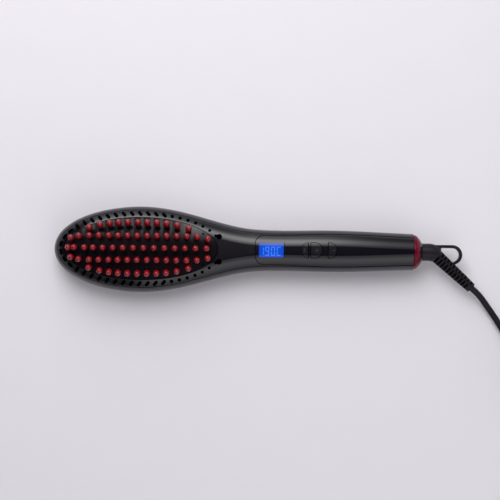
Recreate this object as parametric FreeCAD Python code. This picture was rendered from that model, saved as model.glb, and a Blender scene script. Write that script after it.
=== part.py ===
import FreeCAD, Part
import math
import os
from FreeCAD import Vector

# Heated straightening brush, lying on its back with the bristles up. Millimetres.
# +X runs from the nose of the head to the cord, +Z is the bristle side, and the origin
# is under the middle of the body, on the surface that it lies on.

# ---- body ----
overall_length = 275.2  # nose to the face of the end cap
head_half_width = 32.1
head_nose_length = 67.0  # nose to the widest place of the head
nose_fullness = 2.06  # power of the nose curve, 2 is a plain ellipse
neck_length = 96.0  # widest place of the head to the waist of the handle
neck_shape = ((0.33, 0.737), (0.6, 0.32), (0.81, 0.069), (1.0, 0.0))  # way down the neck, width left
waist_half_width = 15.2
grip_half_width = 15.6
handle_end_half_width = 13.4
grip_widest_share = 0.4  # way along the grip to its widest place
grip_taper_share = 0.84  # way along the grip to where it has drawn in by most of the taper
grip_taper_done = 0.7
body_height = 26.0  # keel to crown, without the bristles
widest_height = 13.0
crown_reach = 12.6  # how far in from the outline the front curves over
keel_share = 0.3  # width of the flat keel as a share of the body's width
wall = 2.5
parting_depth = 3.0  # how far inside the outline the two shells meet
parting_groove = 0.5
fit_gap = 0.2  # between a piece and the opening that it sits in
close_gap = 0.05  # between pieces that are pressed or wrapped round each other
skin_overrun = 4.0  # how far the skin is drawn on inside the handle end
rib_sink = 0.4  # how far ribs reach into the wall

# ---- bristle field ----
pad_half_length = 57.0
pad_half_width = 23.2
pad_centre_from_nose = 65.9
pad_base_height = 21.0
pad_edge_height = 25.0
pad_crown_rise = 3.0
pad_ledge_width = 2.0
pad_ledge_thickness = 1.6
pad_collar_wall = 1.4
pad_fixing_hole = 1.6
pad_pin_gap = 0.25
pad_lug_radius = 2.2
pad_lug_depth = 2.0  # below the ledge
pad_pin_depth = 3.0  # below the pad's back
pad_pin_recess = 1.2  # below the pad's face
pad_fixing_spacing = 23.0
pad_fixing_from_end = 11.0
tooth_root_radius = 1.75
tooth_end_radius = 1.45
tooth_length = 5.6
tooth_sink = 1.2  # drawn on below the pad's face before it is trimmed to it
tooth_sides = 8
tip_length = 6.0
tip_radius = 2.15
tip_sides = 8
tip_shape = ((0.0, 0.88), (0.3, 1.0), (0.72, 0.9), (1.0, 0.4))  # shares of length and radius
middle_row_spots = (  # shares of the pad's half length, from its centre
    (-0.93, -0.853, -0.719, -0.605, -0.481)
    + (-0.351, -0.221, -0.088, 0.044, 0.179)
    + (0.314, 0.447, 0.577, 0.712, 0.854)
)
inner_row_spots = (
    (-0.896, -0.793, -0.656, -0.532, -0.404)
    + (-0.284, -0.161, -0.037, 0.091, 0.216)
    + (0.342, 0.470, 0.600, 0.732, 0.870)
)
outer_row_spots = (
    (-0.661, -0.521, -0.398, -0.281, -0.160)
    + (-0.033, 0.089, 0.214, 0.339, 0.474, 0.623)
)
inner_row_reach = 8.95
outer_row_reach = 19.0
inner_row_bow = 1.8  # the ends of a row lie that much nearer the centre line
outer_row_bow = 4.2
inner_row_bow_power = 12  # only the last tips are drawn in
outer_row_bow_power = 3
fan_across = 1.05  # degrees of lean for each millimetre off the centre line
fan_along = 0.06

# ---- vents ----
vent_ring_offset = 2.9  # outside the pad's outline
vent_pitch = 6.0
vent_cell_length = 4.6
vent_cell_width = 2.6
vent_slot_length = 4.6
vent_slot_width = 2.4
vent_slant = 42.0
vent_end_chamfer = 0.6  # share of the half width
vent_dot_first = 2.8
vent_dot_last = 2.2
vent_cells = 3
vent_slots = 12
vent_dots = 7

# ---- screws at the neck ----
neck_screw_from_nose = 123.7
neck_screw_spacing = 18.6
screw_well_diameter = 4.2
screw_head_diameter = 3.8
screw_head_height = 1.6
screw_shank_diameter = 2.0
screw_seat_height = 19.6
neck_boss_radius = 3.2
neck_screw_length = 11.0
neck_lug_height = 3.0  # under the screw seat
neck_boss_inset = 0.4  # the back shell's boss is that much slimmer
neck_boss_foot = 1.0
neck_pilot_floor = 5.0
screw_recess_length = 2.4
screw_recess_width = 0.6
screw_recess_depth = 0.7
pilot_gap = 0.05
pilot_depth_gap = 0.2  # a blind hole goes that much deeper than its screw

# ---- control panel ----
panel_from_nose = 150.2
panel_half_width = 11.0
panel_corner_radius = 6.5
panel_flare_start = 20.0  # from the panel's own end
panel_flare_end = 118.0
panel_flare_width = 4.0  # wider on each side there
panel_thickness = 1.2
seam_gap = 0.15

# ---- display ----
display_from_panel = 12.2  # display centre from the panel's end
lens_length = 19.8
lens_width = 12.1
window_length = 17.6
window_width = 10.4
window_corner = 0.8
glass_thickness = 1.2
glass_set_back = 0.5  # under the deck
glass_skin_gap = 0.3
lcd_frame_wall = 1.4
lcd_frame_height = 4.0

# ---- buttons ----
button_half_height = 5.95
button_proud = 0.45
button_travel = 0.45
button_gap = 0.2
button_flange = 0.6
button_flange_top = 21.9
button_flange_thickness = 1.0
minus_from_panel = 34.3
minus_length = 5.4
bridge_width = 1.6
plus_length = 9.0
power_from_plus = 4.0
power_length = 6.8

# ---- control board ----
board_top = 17.0
board_thickness = 1.6
board_end_gap = 2.5  # to the swivel's inner end
board_half_width = 9.5
board_from_panel = 0.9
board_boss_radius = 2.2
board_screw_offset = 6.4
board_screw_first = 27.0  # from the board's start, between display and buttons
board_screw_last = 3.0  # from the board's end
board_screw_reach = 4.0  # above the board
board_rib_height = 4.2
board_rib_shares = (0.3, 0.75)  # of the board's length
triac_from_board = 29.5
triac_size = (15.0, 10.0, 4.5)
capacitor_from_board_end = 6.5
capacitor_size = (13.0, 6.0, 10.0)
board_fuse_from_board = 6.0
board_fuse_length = 9.0
board_fuse_radius = 1.8
lead_radius = 0.8
lead_spacing = 8.0
switch_size = 6.0
switch_height = 3.2
plunger_radius = 1.6
plunger_sink = 1.0  # how far the plunger reaches into its switch

# ---- heater parts under the pad ----
heater_shift = -2.4  # heater's centre from pad centre
heater_width = 14.0
heater_thickness = 2.3
heater_overhang = 7.0  # the clamp reaches that far past the elements
film_thickness = 0.2
clamp_end_gap = 2.6  # from the clamp to the nearer end of the ledge
clamp_width = 18.0
clamp_thickness = 1.2
clamp_screw_from_end = 3.0
clamp_screw_from_side = 3.0
clamp_screw_reach = 2.2  # into the pad
film_from_clamp_end = 6.0
film_overhang = 0.5
thermistor_length = 3.0
thermistor_gap = 1.5  # to the element on each side
thermistor_width = 4.0
thermal_fuse_radius = 1.5
thermal_fuse_length = 5.6
thermal_fuse_from_clamp = 3.0
shield_thickness = 0.6
shield_height = 13.0
shield_inset_along = 5.0
shield_inset_across = 2.0
rib_thickness = 1.4
head_rib_shares = (-0.62, -0.05, 0.55)  # of the pad's half length

# ---- handle end and swivel ----
ring_length = 4.4
ring_radius = 12.95
ring_end_radius = 10.4
ring_edge_chamfer = 0.2
ring_edge_length = 0.5
ring_waist_share = 0.55
ring_waist_drop = 0.55
cap_nose_length = 2.2
cap_step = 0.3
cap_edge_length = 0.2
cap_face_radius = 7.2
cap_core_radius = 9.4
cap_spigot_radius = 10.1
cap_spigot_length = 8.0
stem_radius = 6.5
stem_running_gap = 0.08
stem_flange_radius = 8.6
stem_flange_thickness = 2.8
stem_axial_gap = 0.2
stem_tail_radius = 4.4
stem_tail_length = 12.0
stem_bore_radius = 2.6
slip_ring_radius = 5.0
slip_ring_width = 2.0
slip_ring_pitch = 4.6
slip_ring_first = 1.2  # from the stem's end
contact_gap = 0.15
contact_thickness = 0.4
contact_width = 1.6
contact_length = 9.0
carrier_overhang = 1.0
carrier_width = 11.0
mains_lead_drop = 1.0

# ---- strain relief and hanging loop ----
relief_collar_length = 8.2
relief_root_radius = 5.1
relief_tip_radius = 3.9
relief_core_share = 0.76  # of the radius, left under the slots
relief_plain_length = 2.0
relief_slots = 11  # in each of the four columns round the boot
relief_slot_share = 0.5  # of the pitch
relief_slot_span = 76.0  # degrees
relief_slot_columns = ((0.0, 0.5), (90.0, 0.0), (180.0, 0.5), (270.0, 0.0))  # degrees round, shift
relief_bend_radius = 7.0
relief_end_collar = 2.4
relief_step = 0.1
loop_thickness = 2.2
loop_height = 4.0
loop_reach = 21.0
loop_bend_radius = 6.2
loop_bend_degrees = 150.0
loop_tail = 8.0
loop_inset = 2.15  # the strap's middle line from the collar's side
loop_root = 1.0  # drawn on into the elbow before it is trimmed to it

# ---- cord ----
cord_diameter = 4.8
cord_route = [
    (175.5, -26.2, 9.0),
    (185.2, -36.3, 6.4),
    (196.2, -52.0, 3.6),
    (205.7, -72.5, 3.0),
    (212.6, -91.3, 3.35),
]
coil_centre = (243.5, -80.0)
coil_mean_radius = 28.0
coil_pitch = 4.9
coil_columns = 3
coil_layers = 3
coil_lift = 0.9  # the tie passes under the turns
coil_edge_chamfer = 1.4
tail_route = [
    (276.4, -80.0, 13.1),
    (276.4, -69.6, 11.8),
    (276.2, -56.6, 8.6),
    (276.4, -43.6, 7.0),
]
tie_angle = 130.0
tie_width = 7.0
tie_thickness = 0.8

# ---- mains plug (two round pins) ----
plug_width = 35.3
plug_thickness = 13.7
plug_length = 22.0
plug_relief_length = 24.0
plug_relief_root_radius = 5.2
plug_relief_tip_radius = 3.3
plug_relief_root = 1.0  # drawn on into the plug
pin_radius = 2.0
pin_length = 19.0
pin_spacing = 18.6
pin_end_chamfer = 0.6

# ---- places that follow from the sizes ----
nose_x = -overall_length / 2
end_x = overall_length / 2
widest_x = nose_x + head_nose_length
waist_x = widest_x + neck_length
ring_x = end_x - cap_nose_length - ring_length
skin_end_x = ring_x + skin_overrun
parting_z = widest_height + (body_height - widest_height) * math.sqrt(
    1 - (1 - parting_depth / crown_reach) ** 2
)
pad_x = nose_x + pad_centre_from_nose
pad_cross_radius = (pad_half_width**2 + pad_crown_rise**2) / (2 * pad_crown_rise)
pad_ring_radius = (pad_half_length**2 + pad_crown_rise**2) / (2 * pad_crown_rise) - pad_cross_radius
pad_ring_height = pad_edge_height + pad_crown_rise - pad_cross_radius - pad_ring_radius
panel_x = nose_x + panel_from_nose
display_x = panel_x + display_from_panel
minus_x = panel_x + minus_from_panel
plus_x = minus_x + minus_length + bridge_width
power_x = plus_x + plus_length + power_from_plus
board_x = panel_x + board_from_panel
spigot_x = ring_x - cap_spigot_length
stem_flange_x = spigot_x - stem_axial_gap
stem_tail_x = stem_flange_x - stem_flange_thickness
stem_x = stem_tail_x - stem_tail_length
board_end_x = stem_x - board_end_gap
board_length = board_end_x - board_x
board_bottom = board_top - board_thickness
neck_screw_x = nose_x + neck_screw_from_nose
pad_pin_radius = pad_fixing_hole / 2 - pad_pin_gap
heater_top = pad_base_height
clamp_top = heater_top - heater_thickness - film_thickness
heater_x = pad_x + heater_shift
clamp_length = 2 * (pad_half_length - pad_ledge_width - abs(heater_shift) - clamp_end_gap)
heater_spacing = clamp_length / 2 - heater_overhang + thermistor_length / 2 + thermistor_gap
heater_length = heater_spacing - thermistor_length - 2 * thermistor_gap
far = 400.0  # longer than anything it cuts

parts = {}


# ---- general shapes ----
def block(low, high):
    """A box between two corners."""
    size = Vector(*high) - Vector(*low)
    return Part.makeBox(size.x, size.y, size.z, Vector(*low))


def rod(radius, start, end):
    """A round bar between two points."""
    along = Vector(*end) - Vector(*start)
    return Part.makeCylinder(radius, along.Length, Vector(*start), along)


def oval_prism(x, half_length, half_width, low, high):
    """An upright oval column, longer along X."""
    ellipse = Part.Ellipse(Vector(x, 0, low), half_length, half_width)
    face = Part.Face(Part.Wire(ellipse.toShape()))
    return face.extrude(Vector(0, 0, high - low))


def rounded_prism(x, length, width, corner, low, high):
    """An upright column with a rounded rectangle as its section, centred on y = 0."""
    solid = block((x - length / 2, -width / 2, low), (x + length / 2, width / 2, high))
    upright = [e for e in solid.Edges if abs(e.tangentAt(e.FirstParameter).z) > 0.9]
    return solid.makeFillet(corner, upright)


def slot_prism(x, y, length, width, turn, low, high):
    """An upright column with a slot with chamfered ends as its section."""
    half = length / 2
    side = width / 2
    shoulder = half - side * vent_end_chamfer
    flat = side * (1 - vent_end_chamfer)
    corners = ((shoulder, side), (-shoulder, side), (-half, flat), (-half, -flat))
    points = [Vector(a, b, 0) for a, b in corners] + [Vector(-a, -b, 0) for a, b in corners]
    solid = Part.Face(Part.makePolygon(points + [points[0]])).extrude(Vector(0, 0, high - low))
    solid.rotate(Vector(0, 0, 0), Vector(0, 0, 1), turn)
    solid.translate(Vector(x, y, low))
    return solid


def turned(profile, centre=(0.0, 0.0, 0.0), axis=Vector(1, 0, 0), start=0.0, span=360.0):
    """A solid turned about the X axis from (x, radius) points, then pointed along axis."""
    points = [Vector(x, radius, 0) for x, radius in profile]
    face = Part.Face(Part.makePolygon(points + [points[0]]))
    face.rotate(Vector(0, 0, 0), Vector(1, 0, 0), start)
    solid = face.revolve(Vector(0, 0, 0), Vector(1, 0, 0), span)
    solid.Placement = FreeCAD.Placement(Vector(*centre), FreeCAD.Rotation(Vector(1, 0, 0), axis))
    return solid


def outward(solid):
    """The same solid with its faces pointing out."""
    if solid.Volume < 0:
        solid.reverse()
    return solid


def faceted(rings, sides, centre=(0.0, 0.0, 0.0), axis=Vector(0, 0, 1)):
    """A many-sided spindle from (height, radius) rings, pointed along axis."""
    loops = []
    for height, radius in rings:
        turns = [2 * math.pi * (i + 0.5) / sides for i in range(sides)]
        loops.append([Vector(radius * math.cos(t), radius * math.sin(t), height) for t in turns])
    faces = [Part.Face(Part.makePolygon(loops[0] + [loops[0][0]]))]
    faces.append(Part.Face(Part.makePolygon(loops[-1] + [loops[-1][0]])))
    for lower, upper in zip(loops, loops[1:]):
        for i in range(sides):
            j = (i + 1) % sides
            corners = [lower[i], lower[j], upper[j], upper[i], lower[i]]
            faces.append(Part.Face(Part.makePolygon(corners)))
    solid = outward(Part.Solid(Part.makeShell(faces)))
    solid.Placement = FreeCAD.Placement(Vector(*centre), FreeCAD.Rotation(Vector(0, 0, 1), axis))
    return solid


def small_screw(x, y, head_low, head_high, far_end):
    """A hidden screw along Z: a round head and a plain shank that ends at far_end."""
    head = faceted([(head_low, screw_head_diameter / 2), (head_high, screw_head_diameter / 2)], 8, (x, y, 0))
    low, high = sorted((far_end, head_high if far_end > head_high else head_low))
    shank = faceted([(low, screw_shank_diameter / 2), (high, screw_shank_diameter / 2)], 8, (x, y, 0))
    return head.fuse(shank)


# ---- the body's skin ----
def outline_points():
    """One side of the plan outline, from the nose to the end of the handle."""
    points = []
    steps = 5
    for i in range(steps + 1):
        turn = math.pi / 2 * i / steps
        x = widest_x - head_nose_length * math.cos(turn) ** (2 / nose_fullness)
        points.append((x, head_half_width * math.sin(turn) ** (2 / nose_fullness)))
    narrowing = head_half_width - waist_half_width
    for along, share in neck_shape:
        points.append((widest_x + neck_length * along, waist_half_width + narrowing * share))
    grip = skin_end_x - waist_x
    tapered = grip_half_width + (handle_end_half_width - grip_half_width) * grip_taper_done
    points.append((waist_x + grip * grip_widest_share, grip_half_width))
    points.append((waist_x + grip * grip_taper_share, tapered))
    points.append((skin_end_x, handle_end_half_width))
    return points


def outline_curve():
    """The whole outline as one curve, and its parameter at each point."""
    side = outline_points()
    points = [Vector(x, y, 0) for x, y in reversed(side)]
    points += [Vector(x, -y, 0) for x, y in side[1:]]
    places = [0.0]
    for a, b in zip(points, points[1:]):
        places.append(places[-1] + (b - a).Length)
    curve = Part.BSplineCurve()
    curve.interpolate(Points=points, Parameters=places)
    return curve, places


def level_curve(curve, places, depth, share, height):
    """The outline moved in by depth, drawn in to a share of its width, at a height."""
    points = []
    last = len(places) - 1
    for number, place in enumerate(places):
        tangent = curve.tangent(place)[0]
        inward = Vector(-tangent.y, tangent.x, 0)
        if number == 0:
            inward = Vector(0, -1, 0)
        if number == last:
            inward = Vector(0, 1, 0)
        point = curve.value(place) + inward * depth
        x = point.x
        if x < widest_x:
            x = widest_x + (x - widest_x) * share
        points.append(Vector(x, point.y * share, height))
    level = Part.BSplineCurve()
    level.interpolate(Points=points, Parameters=places)
    return level


def quarter_round(start, corner, stop):
    """The surface of exact quarter ellipses from one level curve to another, bulging to the corner."""
    rows = zip(start.getPoles(), corner.getPoles(), stop.getPoles())
    bulge = math.sqrt(0.5)
    surface = Part.BSplineSurface()
    surface.buildFromPolesMultsKnots(
        [list(row) for row in rows],
        start.getMultiplicities(),
        [3, 3],
        start.getKnots(),
        [0.0, 1.0],
        False,
        False,
        start.Degree,
        2,
        [[1.0, bulge, 1.0] for _ in start.getPoles()],
    )
    return surface


def skin(inset):
    """The solid inside the body's skin, moved in by inset: a round back and a curved-over front."""
    curve, places = outline_curve()
    low = inset
    high = body_height - inset
    keel = level_curve(curve, places, inset, keel_share, low)
    back_corner = level_curve(curve, places, inset, 1.0, low)
    widest = level_curve(curve, places, inset, 1.0, widest_height)
    front_corner = level_curve(curve, places, inset, 1.0, high)
    crown = level_curve(curve, places, crown_reach, 1.0, high)
    back = quarter_round(keel, back_corner, widest)
    front = quarter_round(widest, front_corner, crown)
    faces = [back.toShape(), front.toShape()]
    for level in (keel, crown):
        edge = level.toShape()
        ends = [edge.valueAt(edge.LastParameter), edge.valueAt(edge.FirstParameter)]
        faces.append(Part.Face(Part.Wire([edge, Part.makeLine(*ends)])))
    start, stop, _, _ = back.bounds()
    ends = [side.uIso(place).toShape() for side in (back, front) for place in (start, stop)]
    for level in (keel, crown):
        edge = level.toShape()
        ends.append(Part.makeLine(edge.valueAt(edge.LastParameter), edge.valueAt(edge.FirstParameter)))
    faces.append(Part.Face(Part.Wire(Part.sortEdges(ends)[0])))
    shell = Part.makeShell(faces)
    shell.sewShape()
    return outward(Part.Solid(shell))


outer_skin = skin(0.0)
inner_skin = skin(wall)
groove_skin = skin(parting_groove)
deck_skin = skin(panel_thickness)
proud_skin = skin(-button_proud)
body_span = block((-far, -far, -far), (ring_x, far, far))
wall_body = outer_skin.cut(inner_skin).common(body_span)
above_parting = block((-far, -far, parting_z), (far, far, far))
below_parting = block((-far, -far, -far), (far, far, parting_z))


# ---- bristle field ----
def pad_surface(x, y):
    """Height of the pad's face, which is crowned along and across."""
    reach = pad_ring_radius + math.sqrt(pad_cross_radius**2 - y**2)
    return pad_ring_height + math.sqrt(reach**2 - (x - pad_x) ** 2)


def make_pad():
    """Oval casting with a face that is part of a wide torus."""
    ring = Part.makeTorus(
        pad_ring_radius, pad_cross_radius, Vector(pad_x, 0, pad_ring_height), Vector(0, 1, 0)
    )
    top = body_height + pad_crown_rise
    column = oval_prism(pad_x, pad_half_length, pad_half_width, pad_base_height, top)
    return column.common(ring)


def bristle_places():
    """For each row, the places of its tips as seen from above."""
    inner = (inner_row_spots, inner_row_reach, inner_row_bow, inner_row_bow_power)
    outer = (outer_row_spots, outer_row_reach, outer_row_bow, outer_row_bow_power)
    middle = (middle_row_spots, 0.0, 0.0, 1)
    rows = []
    for side, (spots, reach, bow, power) in zip((-1, -1, 0, 1, 1), (outer, inner, middle, inner, outer)):
        row_middle = (spots[0] + spots[-1]) / 2
        row_half = (spots[-1] - spots[0]) / 2
        row = []
        for spot in spots:
            drawn_in = bow * abs((spot - row_middle) / row_half) ** power
            row.append((pad_x + pad_half_length * spot, side * (reach - drawn_in)))
        rows.append(row)
    return rows


def bristle_frame(x, y):
    """Root point and direction of the bristle whose tip is seen at x, y."""
    lean_y = math.radians(fan_across * y)
    lean_x = math.radians(fan_along * (x - pad_x))
    along = Vector(math.tan(lean_x), math.tan(lean_y), 1)
    reach = tooth_length + tip_length / 2
    root_x = x - reach * along.x
    root_y = y - reach * along.y
    root = Vector(root_x, root_y, pad_surface(root_x, root_y))
    return root, along.normalize()


def make_bristles(pad):
    """Teeth that grow out of the pad's face, and the domed tips on their ends."""
    taper = (tooth_root_radius - tooth_end_radius) / tooth_length
    root_radius = tooth_root_radius + taper * tooth_sink
    tooth = faceted([(-tooth_sink, root_radius), (tooth_length, tooth_end_radius)], tooth_sides)
    tip = faceted([(tip_length * h, tip_radius * r) for h, r in tip_shape], tip_sides)
    for number, row in enumerate(bristle_places(), 1):
        teeth = []
        tips = []
        for x, y in row:
            root, along = bristle_frame(x, y)
            turn = FreeCAD.Rotation(Vector(0, 0, 1), along)
            one_tooth = tooth.copy()
            one_tooth.Placement = FreeCAD.Placement(root, turn)
            teeth.append(one_tooth.cut(pad).Solids[0])
            one_tip = tip.copy()
            one_tip.Placement = FreeCAD.Placement(root + along * tooth_length, turn)
            tips.append(one_tip)
        parts[f"tooth_row_{number}"] = Part.makeCompound(teeth)
        parts[f"tip_row_{number}"] = Part.makeCompound(tips)


def fixing_places():
    """The two small holes near the neck end of the pad."""
    x = pad_x + pad_half_length - pad_fixing_from_end
    return [(x, side * pad_fixing_spacing / 2) for side in (-1, 1)]


def clamp_screw_places():
    places = []
    for end in (-1, 1):
        for side in (-1, 1):
            x = heater_x + end * (clamp_length / 2 - clamp_screw_from_end)
            places.append((x, side * (clamp_width / 2 - clamp_screw_from_side)))
    return places


# ---- vents ----
def vent_tools():
    """Cutters for the ring of vents: cells at the nose, slanted slots, then shrinking dots."""
    half_length = pad_half_length + vent_ring_offset
    half_width = pad_half_width + vent_ring_offset
    step = 0.002
    tools = []
    for side in (-1, 1):
        turn = math.pi
        place = -vent_pitch / 2
        number = 0
        while number < vent_cells + vent_slots + vent_dots:
            turn -= step
            place += step * math.hypot(half_length * math.sin(turn), half_width * math.cos(turn))
            if place < 0:
                continue
            x = pad_x + half_length * math.cos(turn)
            y = side * half_width * math.sin(turn)
            if number < vent_cells:
                normal = math.atan2(half_length * side * math.sin(turn), half_width * math.cos(turn))
                along = math.degrees(normal) + 90
                tool = slot_prism(x, y, vent_cell_length, vent_cell_width, along, parting_z, far)
            elif number < vent_cells + vent_slots:
                slant = 90 + side * vent_slant
                tool = slot_prism(x, y, vent_slot_length, vent_slot_width, slant, parting_z, far)
            else:
                share = (number - vent_cells - vent_slots) / (vent_dots - 1)
                dot = vent_dot_first + (vent_dot_last - vent_dot_first) * share
                tool = rod(dot / 2, (x, y, parting_z), (x, y, far))
            tools.append(tool)
            place -= vent_pitch
            number += 1
    return tools


# ---- control panel outline and its openings ----
def panel_prism(gap):
    """Upright column over the panel: a rounded end, straight sides, then flaring to the parting."""
    left = panel_x + gap
    half = panel_half_width - gap
    wide = half + panel_flare_width
    bend = panel_corner_radius * (1 - math.sqrt(0.5))
    flare = panel_x + panel_flare_start
    flared = panel_x + panel_flare_end
    inner = left + panel_corner_radius
    edges = []
    corners = []
    for side in (1, -1):
        start = Vector(left, side * (half - panel_corner_radius), 0)
        middle = Vector(left + bend, side * (half - bend), 0)
        end = Vector(inner, side * half, 0)
        edges.append(Part.Arc(start, middle, end).toShape())
        run = [end, Vector(flare, side * half, 0)]
        run += [Vector(x, side * wide, 0) for x in (flared, far)]
        edges += [Part.makeLine(a, b) for a, b in zip(run, run[1:])]
        corners.append((start, run[-1]))
    edges.append(Part.makeLine(corners[0][0], corners[1][0]))
    edges.append(Part.makeLine(corners[0][1], corners[1][1]))
    wire = Part.Wire(Part.sortEdges(edges)[0])
    column = Part.Face(wire).extrude(Vector(0, 0, far))
    return column.common(above_parting)


def button_prism(left, right, round_side, grow, low, high):
    """Upright column of a button: flat on one side and round on the other."""
    radius = button_half_height + grow
    if round_side < 0:
        centre = left + button_half_height
        flat = block((left - grow, -radius, low), (right, radius, high))
        body = block((centre, -radius, low), (right + far, radius, high))
    else:
        centre = right - button_half_height
        flat = block((left, -radius, low), (right + grow, radius, high))
        body = block((left - far, -radius, low), (centre, radius, high))
    disc = Part.makeCylinder(radius, high - low, Vector(centre, 0, low))
    return disc.fuse(body).common(flat)


def button_spans():
    """Name, low X, high X and the round side of each button."""
    return (
        ("minus", minus_x, minus_x + minus_length, -1),
        ("plus", plus_x, plus_x + plus_length, 1),
        ("power", power_x, power_x + power_length, 1),
    )


def button_opening(left, right, round_side, low, high):
    """The hole that a button slides in."""
    near = left - button_gap if round_side > 0 else left
    away = right + button_gap if round_side < 0 else right
    return button_prism(near, away, round_side, button_gap, low, high)


def board_screw_places():
    places = []
    for x in (board_x + board_screw_first, board_end_x - board_screw_last):
        for side in (-1, 1):
            places.append((x, side * board_screw_offset))
    return places


def neck_screw_places():
    return [(neck_screw_x, side * neck_screw_spacing / 2) for side in (-1, 1)]


# ---- shells ----
def make_front_housing():
    """The vented front cover, its pad ledge, screw wells, panel deck and bosses."""
    shell = wall_body.common(above_parting)
    collar_length = pad_half_length + fit_gap
    collar_width = pad_half_width + fit_gap
    ledge_low = pad_base_height - pad_ledge_thickness
    collar = oval_prism(
        pad_x, collar_length + pad_collar_wall, collar_width + pad_collar_wall, ledge_low, far
    )
    ledge_hole = oval_prism(
        pad_x, pad_half_length - pad_ledge_width, pad_half_width - pad_ledge_width, 0, far
    )
    frame = collar.common(groove_skin).cut(ledge_hole)
    lug_low = screw_seat_height - neck_lug_height
    lugs = [rod(neck_boss_radius, (x, y, lug_low), (x, y, far)) for x, y in neck_screw_places()]
    for x, y in board_screw_places():
        lugs.append(rod(board_boss_radius, (x, y, board_top), (x, y, far)))
    lugs = [lug.common(deck_skin) for lug in lugs]
    for x, y in fixing_places():
        lugs.append(rod(pad_lug_radius, (x, y, ledge_low - pad_lug_depth), (x, y, pad_base_height)))
    solid = shell.fuse([frame] + lugs)
    opening = oval_prism(pad_x, collar_length, collar_width, pad_base_height, far)
    tools = [opening] + vent_tools()
    band = outer_skin.cut(groove_skin)
    tools.append(band.common(block((-far, -far, 0), (far, far, parting_z + parting_groove))))
    tools.append(panel_prism(0.0).cut(deck_skin))
    for x, y in neck_screw_places():
        tools.append(rod(screw_well_diameter / 2, (x, y, screw_seat_height), (x, y, far)))
        tools.append(rod(screw_shank_diameter / 2 + fit_gap, (x, y, 0), (x, y, far)))
    pilot_top = board_top + board_screw_reach + pilot_depth_gap
    for x, y in board_screw_places():
        tools.append(rod(screw_shank_diameter / 2 + pilot_gap, (x, y, 0), (x, y, pilot_top)))
    for x, y in fixing_places():
        tools.append(rod(pad_pin_radius + close_gap, (x, y, 0), (x, y, far)))
    tools.append(rounded_prism(display_x, window_length, window_width, window_corner, 0, far))
    for name, left, right, round_side in button_spans():
        tools.append(button_opening(left, right, round_side, 0, far))
    return solid.cut(tools)


def make_rear_housing():
    """The back shell with its screw bosses, ribs and contact carrier seat."""
    solid = wall_body.common(below_parting)
    room = skin(wall - rib_sink)
    added = []
    for share in head_rib_shares:
        x = pad_x + pad_half_length * share
        rib = block((x, -far, 0), (x + rib_thickness, far, shield_height))
        added.append(rib.common(room))
    for share in board_rib_shares:
        x = board_x + board_length * share
        rib = block((x, -far, 0), (x + rib_thickness, far, board_rib_height))
        added.append(rib.common(room))
    boss_top = screw_seat_height - neck_lug_height
    boss_radius = neck_boss_radius - neck_boss_inset
    for x, y in neck_screw_places():
        added.append(rod(boss_radius, (x, y, neck_boss_foot), (x, y, boss_top)))
    solid = solid.fuse(added)
    pilot = screw_shank_diameter / 2 + pilot_gap
    return solid.cut([rod(pilot, (x, y, neck_pilot_floor), (x, y, far)) for x, y in neck_screw_places()])


def make_control_panel():
    """The inlay over the handle, flush with the skin, open over the display and the buttons."""
    sheet = outer_skin.cut(deck_skin).common(body_span)
    above_groove = block((-far, -far, parting_z + parting_groove), (ring_x - seam_gap, far, far))
    solid = sheet.common(panel_prism(seam_gap)).common(above_groove)
    tools = [rounded_prism(display_x, lens_length, lens_width, window_corner, 0, far)]
    for name, left, right, round_side in button_spans():
        tools.append(button_opening(left, right, round_side, 0, far))
    return solid.cut(tools)


# ---- display ----
def make_display():
    """Clear lens in the panel, the glass in the deck's window, its light block and frame."""
    lens_column = rounded_prism(
        display_x, lens_length - 2 * seam_gap, lens_width - 2 * seam_gap, window_corner, parting_z, far
    )
    parts["display_lens"] = lens_column.common(outer_skin).cut(deck_skin)
    glass_top = body_height - panel_thickness - glass_set_back
    glass_low = glass_top - glass_thickness
    length = window_length - 2 * fit_gap
    width = window_width - 2 * fit_gap
    column = rounded_prism(display_x, length, width, window_corner, glass_low, far)
    parts["lcd_glass"] = column.common(skin(panel_thickness + glass_skin_gap))
    light = rounded_prism(display_x, length, width, window_corner, board_top, glass_low)
    parts["lcd_backlight"] = light
    frame_top = board_top + lcd_frame_height
    reach = length / 2 + lcd_frame_wall
    side = width / 2 + lcd_frame_wall
    frame = block((display_x - reach, -side, board_top), (display_x + reach, side, frame_top))
    reach = length / 2 + close_gap
    side = width / 2 + close_gap
    hole = block((display_x - reach, -side, 0), (display_x + reach, side, far))
    parts["lcd_frame"] = frame.cut(hole)


# ---- buttons and their switches ----
def make_buttons():
    """Each button with its retaining flange, its switch and the plunger that it presses."""
    flange_low = button_flange_top - button_flange_thickness
    for name, left, right, round_side in button_spans():
        cap = button_prism(left, right, round_side, 0, button_flange_top, far).common(proud_skin)
        near = left - button_flange if round_side > 0 else left
        away = right + button_flange if round_side < 0 else right
        flange = button_prism(near, away, round_side, button_flange, flange_low, button_flange_top)
        parts[f"button_{name}"] = cap.fuse(flange).removeSplitter()
        x = (left + right) / 2
        half = min(switch_size, right - left) / 2
        switch_top = board_top + switch_height
        body = block((x - half, -switch_size / 2, board_top), (x + half, switch_size / 2, switch_top))
        well_low = switch_top - plunger_sink - button_travel - fit_gap
        well = rod(plunger_radius + fit_gap, (x, 0, well_low), (x, 0, far))
        parts[f"switch_body_{name}"] = body.cut(well)
        parts[f"switch_plunger_{name}"] = rod(
            plunger_radius, (x, 0, switch_top - plunger_sink), (x, 0, flange_low)
        )


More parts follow.
